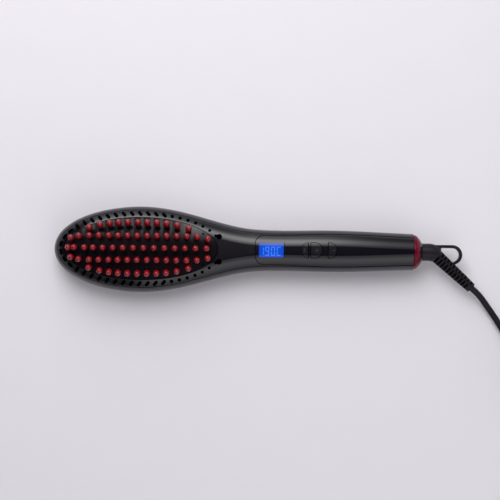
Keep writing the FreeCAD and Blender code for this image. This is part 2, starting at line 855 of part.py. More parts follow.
# ---- control board ----
def make_board():
    """The board, its screws and the power parts that hang under it."""
    board = block(
        (board_x, -board_half_width, board_bottom), (board_end_x, board_half_width, board_top)
    )
    holes = []
    screws = []
    for x, y in board_screw_places():
        holes.append(rod(screw_shank_diameter / 2 + fit_gap, (x, y, 0), (x, y, far)))
        head_low = board_bottom - screw_head_height
        screws.append(small_screw(x, y, head_low, board_bottom, board_top + board_screw_reach))
    parts["control_board"] = board.cut(holes)
    parts["board_screws"] = Part.makeCompound(screws)
    parts["triac"] = under_board(board_x + triac_from_board, triac_size)
    capacitor_x = board_end_x - capacitor_from_board_end - capacitor_size[0]
    parts["film_capacitor"] = under_board(capacitor_x, capacitor_size)
    fuse_x = board_x + board_fuse_from_board
    fuse_z = board_bottom - board_fuse_radius
    fuse_end = fuse_x + board_fuse_length
    parts["board_fuse"] = rod(board_fuse_radius, (fuse_x, 0, fuse_z), (fuse_end, 0, fuse_z))


def under_board(x, size):
    """A boxed component that hangs under the board."""
    length, width, depth = size
    return block((x, -width / 2, board_bottom - depth), (x + length, width / 2, board_bottom))


def leads_between(start, end, neighbours):
    """A pair of wires side by side, trimmed to the pieces that they are fixed to."""
    wires = []
    for side in (-0.5, 0.5):
        y = side * lead_spacing
        wire = rod(lead_radius, (start[0], y, start[1]), (end[0], y, end[1])).cut(neighbours)
        wires.append(max(wire.Solids, key=lambda piece: piece.Volume))
    return Part.makeCompound(wires)


# ---- heater under the pad ----
def make_heater(pad):
    """Heating elements clamped under the pad, their guards and the shield below."""
    heater_low = heater_top - heater_thickness
    elements = []
    for side in (-0.5, 0.5):
        left = heater_x + side * heater_spacing - heater_length / 2
        low = (left, -heater_width / 2, heater_low)
        elements.append(block(low, (left + heater_length, heater_width / 2, heater_top)))
    parts["ptc_heaters"] = Part.makeCompound(elements)
    reach = clamp_length / 2 - film_from_clamp_end
    side = heater_width / 2 + film_overhang
    low = (heater_x - reach, -side, clamp_top)
    parts["insulating_sheet"] = block(low, (heater_x + reach, side, heater_low))
    half = clamp_length / 2
    head_top = clamp_top - clamp_thickness
    side = clamp_width / 2
    clamp = block((heater_x - half, -side, head_top), (heater_x + half, side, clamp_top))
    screws = []
    clamp_holes = []
    pad_holes = []
    screw_end = heater_top + clamp_screw_reach
    for x, y in clamp_screw_places():
        clamp_holes.append(rod(screw_shank_diameter / 2 + fit_gap, (x, y, 0), (x, y, far)))
        pilot = rod(screw_shank_diameter / 2 + pilot_gap, (x, y, 0), (x, y, screw_end + pilot_depth_gap))
        pad_holes.append(pilot)
        screws.append(small_screw(x, y, head_top - screw_head_height, head_top, screw_end))
    parts["heater_clamp"] = clamp.cut(clamp_holes)
    parts["clamp_screws"] = Part.makeCompound(screws)
    pins = []
    for x, y in fixing_places():
        pad_holes.append(rod(pad_fixing_hole / 2, (x, y, 0), (x, y, far)))
        pin_top = pad_surface(x, y) - pad_pin_recess
        pins.append(rod(pad_pin_radius, (x, y, heater_top - pad_pin_depth), (x, y, pin_top)))
    parts["heating_pad"] = pad.cut(pad_holes)
    parts["pad_pins"] = Part.makeCompound(pins)
    low = (heater_x - thermistor_length / 2, -thermistor_width / 2, heater_low)
    high = (heater_x + thermistor_length / 2, thermistor_width / 2, heater_top)
    parts["thermistor"] = block(low, high)
    fuse_x = heater_x + half + thermal_fuse_from_clamp
    fuse_z = heater_top - thermal_fuse_radius
    fuse_ends = [(fuse_x, side * thermal_fuse_length / 2, fuse_z) for side in (-1, 1)]
    parts["thermal_fuse"] = rod(thermal_fuse_radius, *fuse_ends)
    parts["heat_shield"] = oval_prism(
        pad_x,
        pad_half_length - shield_inset_along,
        pad_half_width - shield_inset_across,
        shield_height,
        shield_height + shield_thickness,
    )
    start = (heater_x + half, head_top + clamp_thickness / 2)
    end = (board_x, board_bottom + board_thickness / 2)
    parts["heater_leads"] = leads_between(start, end, [parts["heater_clamp"], parts["control_board"]])


def make_neck_screws():
    screws = []
    head_top = screw_seat_height + screw_head_height
    for x, y in neck_screw_places():
        screw = small_screw(x, y, screw_seat_height, head_top, screw_seat_height - neck_screw_length)
        reach = screw_recess_length / 2
        side = screw_recess_width / 2
        low = head_top - screw_recess_depth
        slot = block((x - reach, y - side, low), (x + reach, y + side, far))
        cross = block((x - side, y - reach, low), (x + side, y + reach, far))
        screws.append(screw.cut([slot, cross]))
    parts["neck_screws"] = Part.makeCompound(screws)


# ---- handle end ----
def make_handle_end():
    """Red ring, end cap, and the stem that turns in the cap with its slip rings and contacts."""
    axis_z = widest_height
    bore = stem_radius + stem_running_gap
    nose_start = end_x - cap_nose_length
    cap_profile = [
        (spigot_x, bore),
        (spigot_x, cap_spigot_radius),
        (ring_x, cap_spigot_radius),
        (ring_x, cap_core_radius),
        (nose_start, cap_core_radius),
        (nose_start, ring_end_radius - cap_step),
        (nose_start + cap_edge_length, ring_end_radius - cap_step),
        (end_x, cap_face_radius),
        (end_x, bore),
    ]
    parts["end_cap"] = turned(cap_profile, (0, 0, axis_z))
    ring_profile = [
        (ring_x, cap_core_radius + close_gap),
        (ring_x, ring_radius - ring_edge_chamfer),
        (ring_x + ring_edge_length, ring_radius),
        (ring_x + ring_length * ring_waist_share, ring_radius - ring_waist_drop),
        (nose_start, ring_end_radius),
        (nose_start, cap_core_radius + close_gap),
    ]
    parts["end_ring"] = turned(ring_profile, (0, 0, axis_z))
    stem_profile = [
        (stem_x, stem_bore_radius),
        (stem_x, stem_tail_radius),
        (stem_tail_x, stem_tail_radius),
        (stem_tail_x, stem_flange_radius),
        (stem_flange_x, stem_flange_radius),
        (stem_flange_x, stem_radius),
        (end_x, stem_radius),
        (end_x, stem_bore_radius),
    ]
    parts["swivel_stem"] = turned(stem_profile, (0, 0, axis_z))
    rings = []
    leaves = []
    carrier_high = axis_z - slip_ring_radius - contact_gap - contact_thickness
    first = stem_x + slip_ring_first
    for x in (first, first + slip_ring_pitch):
        after = x + slip_ring_width
        outer = rod(slip_ring_radius, (x, 0, axis_z), (after, 0, axis_z))
        rings.append(outer.cut(rod(stem_tail_radius, (x, 0, axis_z), (after, 0, axis_z))))
        leaf_x = x + (slip_ring_width - contact_width) / 2
        low = (leaf_x, -contact_length / 2, carrier_high)
        high = (leaf_x + contact_width, contact_length / 2, carrier_high + contact_thickness)
        leaves.append(block(low, high))
    parts["slip_rings"] = Part.makeCompound(rings)
    parts["slip_contacts"] = Part.makeCompound(leaves)
    carrier_x = first - carrier_overhang
    carrier_end = first + slip_ring_pitch + slip_ring_width + carrier_overhang
    carrier = block((carrier_x, -carrier_width / 2, 0), (carrier_end, carrier_width / 2, carrier_high))
    parts["contact_carrier"] = carrier.common(inner_skin)
    start = (board_end_x, board_bottom + board_thickness / 2)
    end = (carrier_x, carrier_high - mains_lead_drop)
    neighbours = [parts["control_board"], parts["contact_carrier"]]
    parts["mains_leads"] = leads_between(start, end, neighbours)


# ---- strain relief and loop ----
def bent_rod(radius, start, along, turn_axis, bend_radius, degrees):
    """A round bar bent through an arc that starts at a point."""
    side = turn_axis.cross(along).normalize()
    section = Part.Face(Part.Wire(Part.Circle(start, along, radius).toShape()))
    return section.revolve(start + side * bend_radius, turn_axis, degrees)


def make_strain_relief():
    """Collar on the stem, elbow, and the boot that tapers to the cord, with staggered slots to flex."""
    corner = Vector(end_x + relief_collar_length, 0, widest_height)
    along = (Vector(*cord_route[0]) - corner).normalize()
    turn_axis = Vector(1, 0, 0).cross(along).normalize()
    turn = Vector(1, 0, 0).getAngle(along)
    reach = relief_bend_radius * math.tan(turn / 2)
    bend_start = corner - Vector(reach, 0, 0)
    bend_end = corner + along * reach
    collar = rod(stem_radius, (end_x, 0, widest_height), tuple(bend_start))
    degrees = math.degrees(turn)
    elbow = bent_rod(stem_radius, bend_start, Vector(1, 0, 0), turn_axis, relief_bend_radius, degrees)
    length = (Vector(*cord_route[0]) - bend_end).Length
    profile = [
        (0.0, 0.0),
        (0.0, stem_radius - relief_step),
        (relief_plain_length, relief_root_radius),
        (length, relief_tip_radius),
        (length, 0.0),
    ]
    blank = collar.fuse([elbow, turned(profile, tuple(bend_end), along)])
    pitch = (length - relief_plain_length - relief_end_collar) / relief_slots
    slots = []
    for start, shift in relief_slot_columns:
        for i in range(relief_slots):
            x = relief_plain_length + pitch * (i + shift)
            after = x + pitch * relief_slot_share
            low = relief_radius(x, length) * relief_core_share
            section = [(x, low), (x, stem_radius), (after, stem_radius), (after, low)]
            slots.append(turned(section, tuple(bend_end), along, start, relief_slot_span))
    parts["strain_relief"] = blank.cut(slots)
    return blank


def relief_radius(x, length):
    """Radius of the boot at a distance from the elbow."""
    share = (x - relief_plain_length) / (length - relief_plain_length)
    return relief_root_radius + (relief_tip_radius - relief_root_radius) * share


def make_hanging_loop(relief_blank):
    """A flat strap that leaves the elbow, turns back and meets the boot's side."""
    left = end_x + relief_collar_length
    low = widest_height - loop_height / 2
    half = loop_thickness / 2
    top = stem_radius - loop_inset
    bend_x = left + loop_reach - loop_bend_radius
    centre = Vector(bend_x, top - loop_bend_radius, low)
    last = math.radians(loop_bend_degrees)
    outline = []
    for grow in (half, -half):
        radius = loop_bend_radius + grow
        outward_way = Vector(math.sin(last), math.cos(last), 0)
        middle_way = Vector(math.sin(last / 2), math.cos(last / 2), 0)
        onward = Vector(math.cos(last), -math.sin(last), 0)
        start = Vector(left - loop_root, top + grow, low)
        bend_start = Vector(bend_x, top + grow, low)
        bend_end = centre + outward_way * radius
        middle = centre + middle_way * radius
        outline.append((start, bend_start, middle, bend_end, bend_end + onward * loop_tail))
    edges = []
    for start, bend_start, middle, bend_end, end in outline:
        edges.append(Part.makeLine(start, bend_start))
        edges.append(Part.Arc(bend_start, middle, bend_end).toShape())
        edges.append(Part.makeLine(bend_end, end))
    edges.append(Part.makeLine(outline[0][0], outline[1][0]))
    edges.append(Part.makeLine(outline[0][-1], outline[1][-1]))
    face = Part.Face(Part.Wire(Part.sortEdges(edges)[0]))
    strap = face.extrude(Vector(0, 0, loop_height))
    pieces = strap.cut(relief_blank).Solids
    parts["hanging_loop"] = max(pieces, key=lambda piece: piece.BoundBox.XMax)


# ---- cord ----
def make_tube(name, route, ends):
    """A round cord of straight runs joined by tangent arcs, trimmed to the pieces at its ends."""
    points = [Vector(*point) for point in route]
    radius = cord_diameter / 2
    pieces = []
    radii = []
    length = 0.0
    start = points[0]
    for before, here, after in zip(points, points[1:], points[2:]):
        incoming = (here - before).normalize()
        outgoing = (after - here).normalize()
        turn = incoming.getAngle(outgoing)
        reach = 0.45 * min((here - before).Length, (after - here).Length)
        radii.append(reach / math.tan(turn / 2))
        arc_start = here - incoming * reach
        pieces.append(rod(radius, tuple(start), tuple(arc_start)))
        axis = incoming.cross(outgoing).normalize()
        pieces.append(bent_rod(radius, arc_start, incoming, axis, radii[-1], math.degrees(turn)))
        length += (arc_start - start).Length + radii[-1] * turn
        start = here + outgoing * reach
    pieces.append(rod(radius, tuple(start), tuple(points[-1])))
    length += (points[-1] - start).Length
    tube = pieces[0].fuse(pieces[1:]).removeSplitter()
    expected = math.pi * radius**2 * length
    print(name, "bend radii", [round(r, 1) for r in radii], "length", round(length, 1))
    print(name, "volume", round(tube.Volume, 1), "section times length", round(expected, 1))
    parts[name] = max(tube.cut(ends).Solids, key=lambda piece: piece.Volume)


def make_coil():
    """The put-away turns as one ring, and the tie round them."""
    x, y = coil_centre
    spread = (coil_columns - 1) / 2 * coil_pitch + cord_diameter / 2
    outer = coil_mean_radius + spread
    inner = coil_mean_radius - spread
    high = coil_lift + (coil_layers - 1) * coil_pitch + cord_diameter
    ring = rod(outer, (x, y, coil_lift), (x, y, high)).cut(rod(inner, (x, y, 0), (x, y, far)))
    rims = [e for e in ring.Edges if isinstance(e.Curve, Part.Circle)]
    parts["cord_coil"] = ring.makeChamfer(coil_edge_chamfer, rims)
    near = inner - close_gap
    away = outer + close_gap
    under = coil_lift - close_gap
    over = high + close_gap
    hole = block((near, -tie_width, under), (away, tie_width, over))
    low = (near - tie_thickness, -tie_width / 2, under - tie_thickness)
    band = block(low, (away + tie_thickness, tie_width / 2, over + tie_thickness)).cut(hole)
    band.rotate(Vector(0, 0, 0), Vector(0, 0, 1), tie_angle)
    band.translate(Vector(x, y, 0))
    parts["cord_tie"] = band.cut(parts["cord_coil"])


def make_plug():
    """Flat two-pin plug with a tapered relief, lying on its side beside the coil."""
    x, y, z = tail_route[-1]
    relief_end = y + plug_relief_length
    root = plug_relief_length + plug_relief_root
    profile = [(0.0, 0.0), (0.0, plug_relief_tip_radius), (root, plug_relief_root_radius), (root, 0.0)]
    relief = turned(profile, (x, y, z), Vector(0, 1, 0))
    half = plug_thickness / 2
    reach = plug_width / 2 - half
    middle = block((x - reach, relief_end, z - half), (x + reach, relief_end + plug_length, z + half))
    sides = [
        rod(half, (x + side * reach, relief_end, z), (x + side * reach, relief_end + plug_length, z))
        for side in (-1, 1)
    ]
    parts["plug_body"] = relief.fuse([middle] + sides).removeSplitter()
    face = relief_end + plug_length
    pins = []
    for side in (-0.5, 0.5):
        px = x + side * pin_spacing
        pin = rod(pin_radius, (px, face, z), (px, face + pin_length, z))
        end_edge = [e for e in pin.Edges if e.BoundBox.YMin > face + pin_length / 2]
        pins.append(pin.makeChamfer(pin_end_chamfer, end_edge))
    parts["plug_pins"] = Part.makeCompound(pins)


pad_blank = make_pad()
parts["front_housing"] = make_front_housing()
parts["rear_housing"] = make_rear_housing()
parts["control_panel"] = make_control_panel()
make_display()
make_buttons()
make_board()
make_bristles(pad_blank)
make_heater(pad_blank)
make_neck_screws()
make_handle_end()
relief_blank = make_strain_relief()
make_hanging_loop(relief_blank)
make_coil()
make_plug()
make_tube("cord_lead", cord_route, [parts["strain_relief"], parts["cord_coil"]])
make_tube("cord_tail", tail_route, [parts["plug_body"], parts["cord_coil"]])

os.makedirs("parts", exist_ok=True)
for name, shape in parts.items():
    shape.exportStep(os.path.join("parts", name + ".step"))
print(len(parts), "parts written")
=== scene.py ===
import math
import bmesh
import bpy
import numpy as np
from mathutils import Matrix, Vector


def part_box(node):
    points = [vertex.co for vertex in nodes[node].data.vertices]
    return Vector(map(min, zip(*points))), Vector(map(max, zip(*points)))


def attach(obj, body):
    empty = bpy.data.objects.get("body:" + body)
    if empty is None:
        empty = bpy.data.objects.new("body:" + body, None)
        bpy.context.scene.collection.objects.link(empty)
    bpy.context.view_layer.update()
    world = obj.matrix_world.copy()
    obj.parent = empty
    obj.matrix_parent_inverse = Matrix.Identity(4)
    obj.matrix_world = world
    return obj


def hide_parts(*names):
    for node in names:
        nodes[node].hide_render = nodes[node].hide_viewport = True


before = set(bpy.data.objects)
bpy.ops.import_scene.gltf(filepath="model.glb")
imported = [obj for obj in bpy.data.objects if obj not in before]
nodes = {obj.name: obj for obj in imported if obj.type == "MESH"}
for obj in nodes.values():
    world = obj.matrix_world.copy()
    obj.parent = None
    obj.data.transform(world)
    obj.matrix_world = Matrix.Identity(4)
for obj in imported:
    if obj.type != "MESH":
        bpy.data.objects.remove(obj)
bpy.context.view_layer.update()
print("frame loaded:", len(nodes), "nodes")


cameraView = {
    "frameWidth": 0.375,  # metres across the frame at the height of the body's outline
    "outlineHeight": 0.013,
    "distance": 1.0,
    "lookAt": (0.0090, 0.0003),
    "turn": 0.61,  # degrees
    "lean": 2.6,  # degrees that it looks away from straight down
    "sensor": 36.0,
    "seesFrom": 0.05,
    "seesTo": 50.0,
}


def makeCamera(view):
    data = bpy.data.cameras.new("camera")
    data.sensor_width = view["sensor"]
    data.lens = view["sensor"] * view["distance"] / view["frameWidth"]
    data.clip_start = view["seesFrom"]
    data.clip_end = view["seesTo"]
    camera = bpy.data.objects.new("camera", data)
    bpy.context.scene.collection.objects.link(camera)
    camera.rotation_euler = (math.radians(view["lean"]), 0.0, math.radians(view["turn"]))
    back = camera.rotation_euler.to_matrix() @ Vector((0.0, 0.0, 1.0))
    camera.location = Vector((*view["lookAt"], view["outlineHeight"])) + back * view["distance"]
    bpy.context.scene.camera = camera


makeCamera(cameraView)
print("camera placed")


# groups that several materials share
def newGroup(name, inputs, outputs):
    group = bpy.data.node_groups.new(name, "ShaderNodeTree")
    for label, kind, value in inputs:
        socket = group.interface.new_socket(name=label, in_out="INPUT", socket_type=kind)
        socket.default_value = value
    for label, kind in outputs:
        group.interface.new_socket(name=label, in_out="OUTPUT", socket_type=kind)
    return group, group.nodes.new("NodeGroupInput"), group.nodes.new("NodeGroupOutput")


def mathNode(tree, operation, first, second=0.0):
    node = tree.nodes.new("ShaderNodeMath")
    node.operation = operation
    for socket, value in zip(node.inputs, (first, second)):
        if isinstance(value, float):
            socket.default_value = value
        else:
            tree.links.new(value, socket)
    return node.outputs[0]


def smoothStep(tree, value, ends):
    ramp = tree.nodes.new("ShaderNodeMapRange")
    ramp.interpolation_type = "SMOOTHSTEP"
    ramp.inputs["From Min"].default_value, ramp.inputs["From Max"].default_value = ends
    tree.links.new(value, ramp.inputs["Value"])
    return ramp.outputs["Result"]


def noiseNode(tree, coordinates, scale, detail):
    node = tree.nodes.new("ShaderNodeTexNoise")
    node.inputs["Detail"].default_value = detail
    tree.links.new(coordinates, node.inputs["Vector"])
    if isinstance(scale, float):
        node.inputs["Scale"].default_value = scale
    else:
        tree.links.new(scale, node.inputs["Scale"])
    return mathNode(tree, "SUBTRACT", node.outputs["Fac"], 0.5)


def makeGrainGroup():
    # colour, roughness and height that wander a little over the surface
    group, given, made = newGroup(
        "surfaceGrain",
        (
            ("Colour", "NodeSocketColor", (0.5, 0.5, 0.5, 1.0)),
            ("Colour Spread", "NodeSocketFloat", 0.1),
            ("Roughness", "NodeSocketFloat", 0.4),
            ("Roughness Spread", "NodeSocketFloat", 0.1),
            ("Grain Scale", "NodeSocketFloat", 2000.0),
            ("Smudge Scale", "NodeSocketFloat", 40.0),
        ),
        (("Colour", "NodeSocketColor"), ("Roughness", "NodeSocketFloat"), ("Height", "NodeSocketFloat")),
    )
    where = group.nodes.new("ShaderNodeTexCoord").outputs["Object"]
    grain = noiseNode(group, where, given.outputs["Grain Scale"], 3.0)
    smudge = noiseNode(group, where, given.outputs["Smudge Scale"], 6.0)
    tone = mathNode(group, "MULTIPLY", smudge, given.outputs["Colour Spread"])
    tone = mathNode(group, "ADD", mathNode(group, "MULTIPLY", tone, 2.0), 1.0)
    scaled = group.nodes.new("ShaderNodeVectorMath")
    scaled.operation = "SCALE"
    group.links.new(given.outputs["Colour"], scaled.inputs[0])
    group.links.new(tone, scaled.inputs["Scale"])
    blotch = mathNode(group, "ADD", smudge, mathNode(group, "MULTIPLY", grain, 0.4))
    shift = mathNode(group, "MULTIPLY", blotch, given.outputs["Roughness Spread"])
    rough = mathNode(group, "ADD", given.outputs["Roughness"], mathNode(group, "MULTIPLY", shift, 2.0))
    group.links.new(scaled.outputs[0], made.inputs["Colour"])
    group.links.new(rough, made.inputs["Roughness"])
    group.links.new(grain, made.inputs["Height"])
    return group


def makeFlakeGroup():
    # tiny mirror flakes under a tinted lacquer
    group, given, made = newGroup(
        "metalFlake",
        (
            ("Colour", "NodeSocketColor", (0.5, 0.0, 0.0, 1.0)),
            ("Flake Scale", "NodeSocketFloat", 4000.0),
            ("Spread", "NodeSocketFloat", 0.5),
        ),
        (("Colour", "NodeSocketColor"), ("Height", "NodeSocketFloat")),
    )
    cells = group.nodes.new("ShaderNodeTexVoronoi")
    where = group.nodes.new("ShaderNodeTexCoord").outputs["Object"]
    group.links.new(where, cells.inputs["Vector"])
    group.links.new(given.outputs["Flake Scale"], cells.inputs["Scale"])
    grey = group.nodes.new("ShaderNodeSeparateColor")
    group.links.new(cells.outputs["Color"], grey.inputs["Color"])
    level = mathNode(group, "SUBTRACT", grey.outputs[0], 0.5)
    tone = mathNode(group, "ADD", mathNode(group, "MULTIPLY", level, given.outputs["Spread"]), 1.0)
    scaled = group.nodes.new("ShaderNodeVectorMath")
    scaled.operation = "SCALE"
    group.links.new(given.outputs["Colour"], scaled.inputs[0])
    group.links.new(tone, scaled.inputs["Scale"])
    group.links.new(scaled.outputs[0], made.inputs["Colour"])
    group.links.new(level, made.inputs["Height"])
    return group


def makeWeaveGroup():
    # over and under threads of a narrow woven tape
    group, given, made = newGroup(
        "tapeWeave",
        (
            ("Dark", "NodeSocketColor", (0.01, 0.01, 0.01, 1.0)),
            ("Light", "NodeSocketColor", (0.05, 0.05, 0.05, 1.0)),
            ("Thread Scale", "NodeSocketFloat", 900.0),
        ),
        (("Colour", "NodeSocketColor"), ("Height", "NodeSocketFloat")),
    )
    where = group.nodes.new("ShaderNodeTexCoord").outputs["Object"]
    cells = group.nodes.new("ShaderNodeTexVoronoi")
    cells.feature = "SMOOTH_F1"
    group.links.new(where, cells.inputs["Vector"])
    group.links.new(given.outputs["Thread Scale"], cells.inputs["Scale"])
    blend = group.nodes.new("ShaderNodeMix")
    blend.data_type = "RGBA"
    group.links.new(cells.outputs["Distance"], blend.inputs["Factor"])
    group.links.new(given.outputs["Light"], blend.inputs[6])
    group.links.new(given.outputs["Dark"], blend.inputs[7])
    group.links.new(blend.outputs[2], made.inputs["Colour"])
    group.links.new(cells.outputs["Distance"], made.inputs["Height"])
    return group


grainGroup = makeGrainGroup()
flakeGroup = makeFlakeGroup()
weaveGroup = makeWeaveGroup()


def newMaterial(name, group, groupValues, shaderValues, bump):
    # one Principled shader fed by one group, with a bump from the group's height
    material = bpy.data.materials.new(name)
    material.use_nodes = True
    tree = material.node_tree
    shader = tree.nodes["Principled BSDF"]
    source = tree.nodes.new("ShaderNodeGroup")
    source.node_tree = group
    for label, value in groupValues.items():
        source.inputs[label].default_value = (*value, 1.0) if isinstance(value, tuple) else value
    for label, value in shaderValues.items():
        shader.inputs[label].default_value = (*value, 1.0) if isinstance(value, tuple) else value
    tree.links.new(source.outputs["Colour"], shader.inputs["Base Color"])
    if "Roughness" in source.outputs:
        tree.links.new(source.outputs["Roughness"], shader.inputs["Roughness"])
    raised = tree.nodes.new("ShaderNodeBump")
    raised.inputs["Strength"].default_value = bump["strength"]
    raised.inputs["Distance"].default_value = bump["distance"]
    tree.links.new(source.outputs["Height"], raised.inputs["Height"])
    tree.links.new(raised.outputs["Normal"], shader.inputs["Normal"])
    return material


grainDepth = 0.0002
weldDistance = 0.000002


def grained(name, colour, roughness, spread=0.03, tone=0.1, scale=1800.0, smudge=35.0, bump=0.05, **shader):
    values = {
        "Colour": colour,
        "Colour Spread": tone,
        "Roughness": roughness,
        "Roughness Spread": spread,
        "Grain Scale": scale,
        "Smudge Scale": smudge,
    }
    named = {label.replace("_", " "): value for label, value in shader.items()}
    return newMaterial(name, grainGroup, values, named, {"strength": bump, "distance": grainDepth})


# the finishes of the brush
shellBlack = grained("shellBlack", (0.0046, 0.0038, 0.0070), 0.13, spread=0.05, tone=0.2, bump=0.010)
panelBlack = grained("panelBlack", (0.0040, 0.0033, 0.0066), 0.10, spread=0.04, tone=0.2, bump=0.008)
buttonBlack = grained("buttonBlack", (0.0050, 0.0044, 0.0074), 0.16, spread=0.04, bump=0.010)
capBlack = grained("capBlack", (0.0050, 0.0044, 0.0070), 0.15, spread=0.04, bump=0.010)
padBlack = grained(
    "padBlack",
    (0.0072, 0.0054, 0.0078),
    0.30,
    scale=2600.0,
    bump=0.006,
    Specular_IOR_Level=0.03,
    Coat_Roughness=0.07,
)
toothBlack = grained("toothBlack", (0.0170, 0.0060, 0.0085), 0.22, spread=0.06, scale=2600.0, bump=0.03)
# near black: painted shade in the vents, wells, seams, boot slots and on walls, and the hidden pins' and
# screws' own colour
pinBlackAndPaintedShade = grained("pinBlackAndPaintedShade", (0.0015, 0.0013, 0.0018), 0.90, Specular_IOR_Level=0.05)
tipRed = grained("tipRed", (0.235, 0.0068, 0.0110), 0.17, spread=0.05, tone=0.12, scale=1500.0, bump=0.015)
stemBlack = grained(
    "stemBlack", (0.0050, 0.0038, 0.0062), 0.40, scale=2200.0, bump=0.10, Specular_IOR_Level=0.25
)
reliefBlack = grained(
    "reliefBlack",
    (0.0056, 0.0040, 0.0072),
    0.42,
    spread=0.08,
    scale=2200.0,
    bump=0.14,
    Specular_IOR_Level=0.24,
)
cordBlack = grained(
    "cordBlack",
    (0.0058, 0.0040, 0.0078),
    0.38,
    spread=0.08,
    scale=1700.0,
    bump=0.12,
    Specular_IOR_Level=0.24,
)
plugBlack = grained("plugBlack", (0.013, 0.012, 0.014), 0.42, spread=0.06, scale=2000.0, bump=0.14)
symbolGrey = grained("symbolGrey", (0.022, 0.021, 0.026), 0.45, scale=2400.0, bump=0.05)
pinSteel = grained("pinSteel", (0.62, 0.61, 0.59), 0.22, spread=0.06, scale=900.0, bump=0.03, Metallic=1.0)
screwSteel = grained(
    "screwSteel", (0.20, 0.20, 0.21), 0.35, spread=0.08, scale=1500.0, bump=0.06, Metallic=1.0
)
tieBlack = newMaterial(
    "tieBlack",
    weaveGroup,
    {"Dark": (0.006, 0.006, 0.007), "Light": (0.035, 0.034, 0.038), "Thread Scale": 1600.0},
    {"Roughness": 0.9, "Sheen Weight": 0.3},
    {"strength": 0.6, "distance": 0.0003},
)
ringRed = newMaterial(
    "ringRed",
    flakeGroup,
    {"Colour": (0.120, 0.0012, 0.012), "Flake Scale": 5000.0, "Spread": 0.5},
    {"Roughness": 0.16, "Specular IOR Level": 0.24, "Specular Tint": (1.0, 0.55, 0.62)},
    {"strength": 0.05, "distance": 0.0001},
)


def makeBacklitMaterial(name, look):
    # a glossy window, lit from under it and a little stronger in its middle
    material = bpy.data.materials.new(name)
    material.use_nodes = True
    tree = material.node_tree
    shader = tree.nodes["Principled BSDF"]
    shader.inputs["Roughness"].default_value = look["roughness"]
    shader.inputs["Base Color"].default_value = (*look["glass"], 1.0)
    shader.inputs["Emission Strength"].default_value = 1.0
    low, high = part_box("lcd_glass")
    centre = (low + high) / 2
    centre.y += look["shift"]
    mapping = tree.nodes.new("ShaderNodeMapping")
    mapping.vector_type = "TEXTURE"
    mapping.inputs["Location"].default_value = centre
    mapping.inputs["Scale"].default_value = (look["span"],) * 3
    place = tree.nodes.new("ShaderNodeTexCoord").outputs["Object"]
    glow = tree.nodes.new("ShaderNodeTexGradient")
    glow.gradient_type = "SPHERICAL"
    ramp = tree.nodes.new("ShaderNodeValToRGB")
    ramp.color_ramp.elements[0].color = (*look["dim"], 1.0)
    ramp.color_ramp.elements[1].color = (*look["bright"], 1.0)
    tree.links.new(place, mapping.inputs["Vector"])
    tree.links.new(mapping.outputs["Vector"], glow.inputs["Vector"])
    tree.links.new(glow.outputs["Fac"], ramp.inputs["Fac"])
    split = tree.nodes.new("ShaderNodeSeparateXYZ")
    tree.links.new(place, split.inputs["Vector"])
    offsets = []
    for axis, middle, half in (("X", centre.x, look["half"][0]), ("Y", centre.y, look["half"][1])):
        away = mathNode(tree, "ABSOLUTE", mathNode(tree, "SUBTRACT", split.outputs[axis], middle))
        offsets.append(mathNode(tree, "SUBTRACT", away, half))
    inside = smoothStep(tree, mathNode(tree, "MAXIMUM", *offsets), look["edge"])
    scaled = tree.nodes.new("ShaderNodeVectorMath")
    scaled.operation = "SCALE"
    tree.links.new(ramp.outputs["Color"], scaled.inputs["Vector"])
    tree.links.new(inside, scaled.inputs["Scale"])
    tree.links.new(scaled.outputs["Vector"], shader.inputs["Emission Color"])
    return material


# where the pad's coat is glossy: painted reflection of the lit card
padPaintedSheen = {
    "north": (0.004, 0.014),  # from dull to glossy, across the pad
    "bare": (-0.052, -0.028),  # from the last bristles to the end of the pad
    "streak": (0.06, 0.26),  # shares of the pitch, away from the middle between two posts
    "mirrored": 0.28,  # how much of the gloss is left between the posts
    "pitch": 0.0072,
    "offset": 0.0028,
    "low": 0.02,
    "high": 0.85,
}


def paintPadReflection(look):
    # painted reflection: the coat is glossy only in streaks between the posts and past the last bristles,
    # and only on the north side, where the lit card shows in it
    tree = padBlack.node_tree
    split = tree.nodes.new("ShaderNodeSeparateXYZ")
    tree.links.new(tree.nodes.new("ShaderNodeTexCoord").outputs["Object"], split.inputs["Vector"])
    shifted = mathNode(tree, "ADD", split.outputs["X"], look["offset"])
    along = mathNode(tree, "DIVIDE", shifted, look["pitch"])
    between = mathNode(tree, "ABSOLUTE", mathNode(tree, "SUBTRACT", mathNode(tree, "FRACT", along), 0.5))
    streak = smoothStep(tree, between, (look["streak"][1], look["streak"][0]))
    bare = smoothStep(tree, split.outputs["X"], look["bare"])
    north = smoothStep(tree, split.outputs["Y"], look["north"])
    clear = mathNode(tree, "MAXIMUM", mathNode(tree, "MULTIPLY", streak, look["mirrored"]), bare)
    shine = mathNode(tree, "MULTIPLY", clear, north)
    level = mathNode(tree, "ADD", mathNode(tree, "MULTIPLY", shine, look["high"]), look["low"])
    tree.links.new(level, tree.nodes["Principled BSDF"].inputs["Coat Weight"])


paintPadReflection(padPaintedSheen)
displayWindow = {
    "roughness": 0.10,
    "glass": (0.002, 0.002, 0.006),
    "shift": -0.0004,  # of the lit part's middle, across the handle
    "half": (0.0090, 0.0050),  # half its length and width
    "edge": (0.0007, -0.0005),  # where its light ends and where it is full
    "span": 0.014,  # from the middle to where it is dimmest
    "dim": (0.001, 0.052, 0.52),
    "bright": (0.004, 0.090, 0.72),
}
digitLight = {**displayWindow, "dim": (0.035, 0.19, 0.95), "bright": (0.065, 0.27, 1.1)}
displayBlue = makeBacklitMaterial("displayBlue", displayWindow)
digitPale = makeBacklitMaterial("digitPale", digitLight)

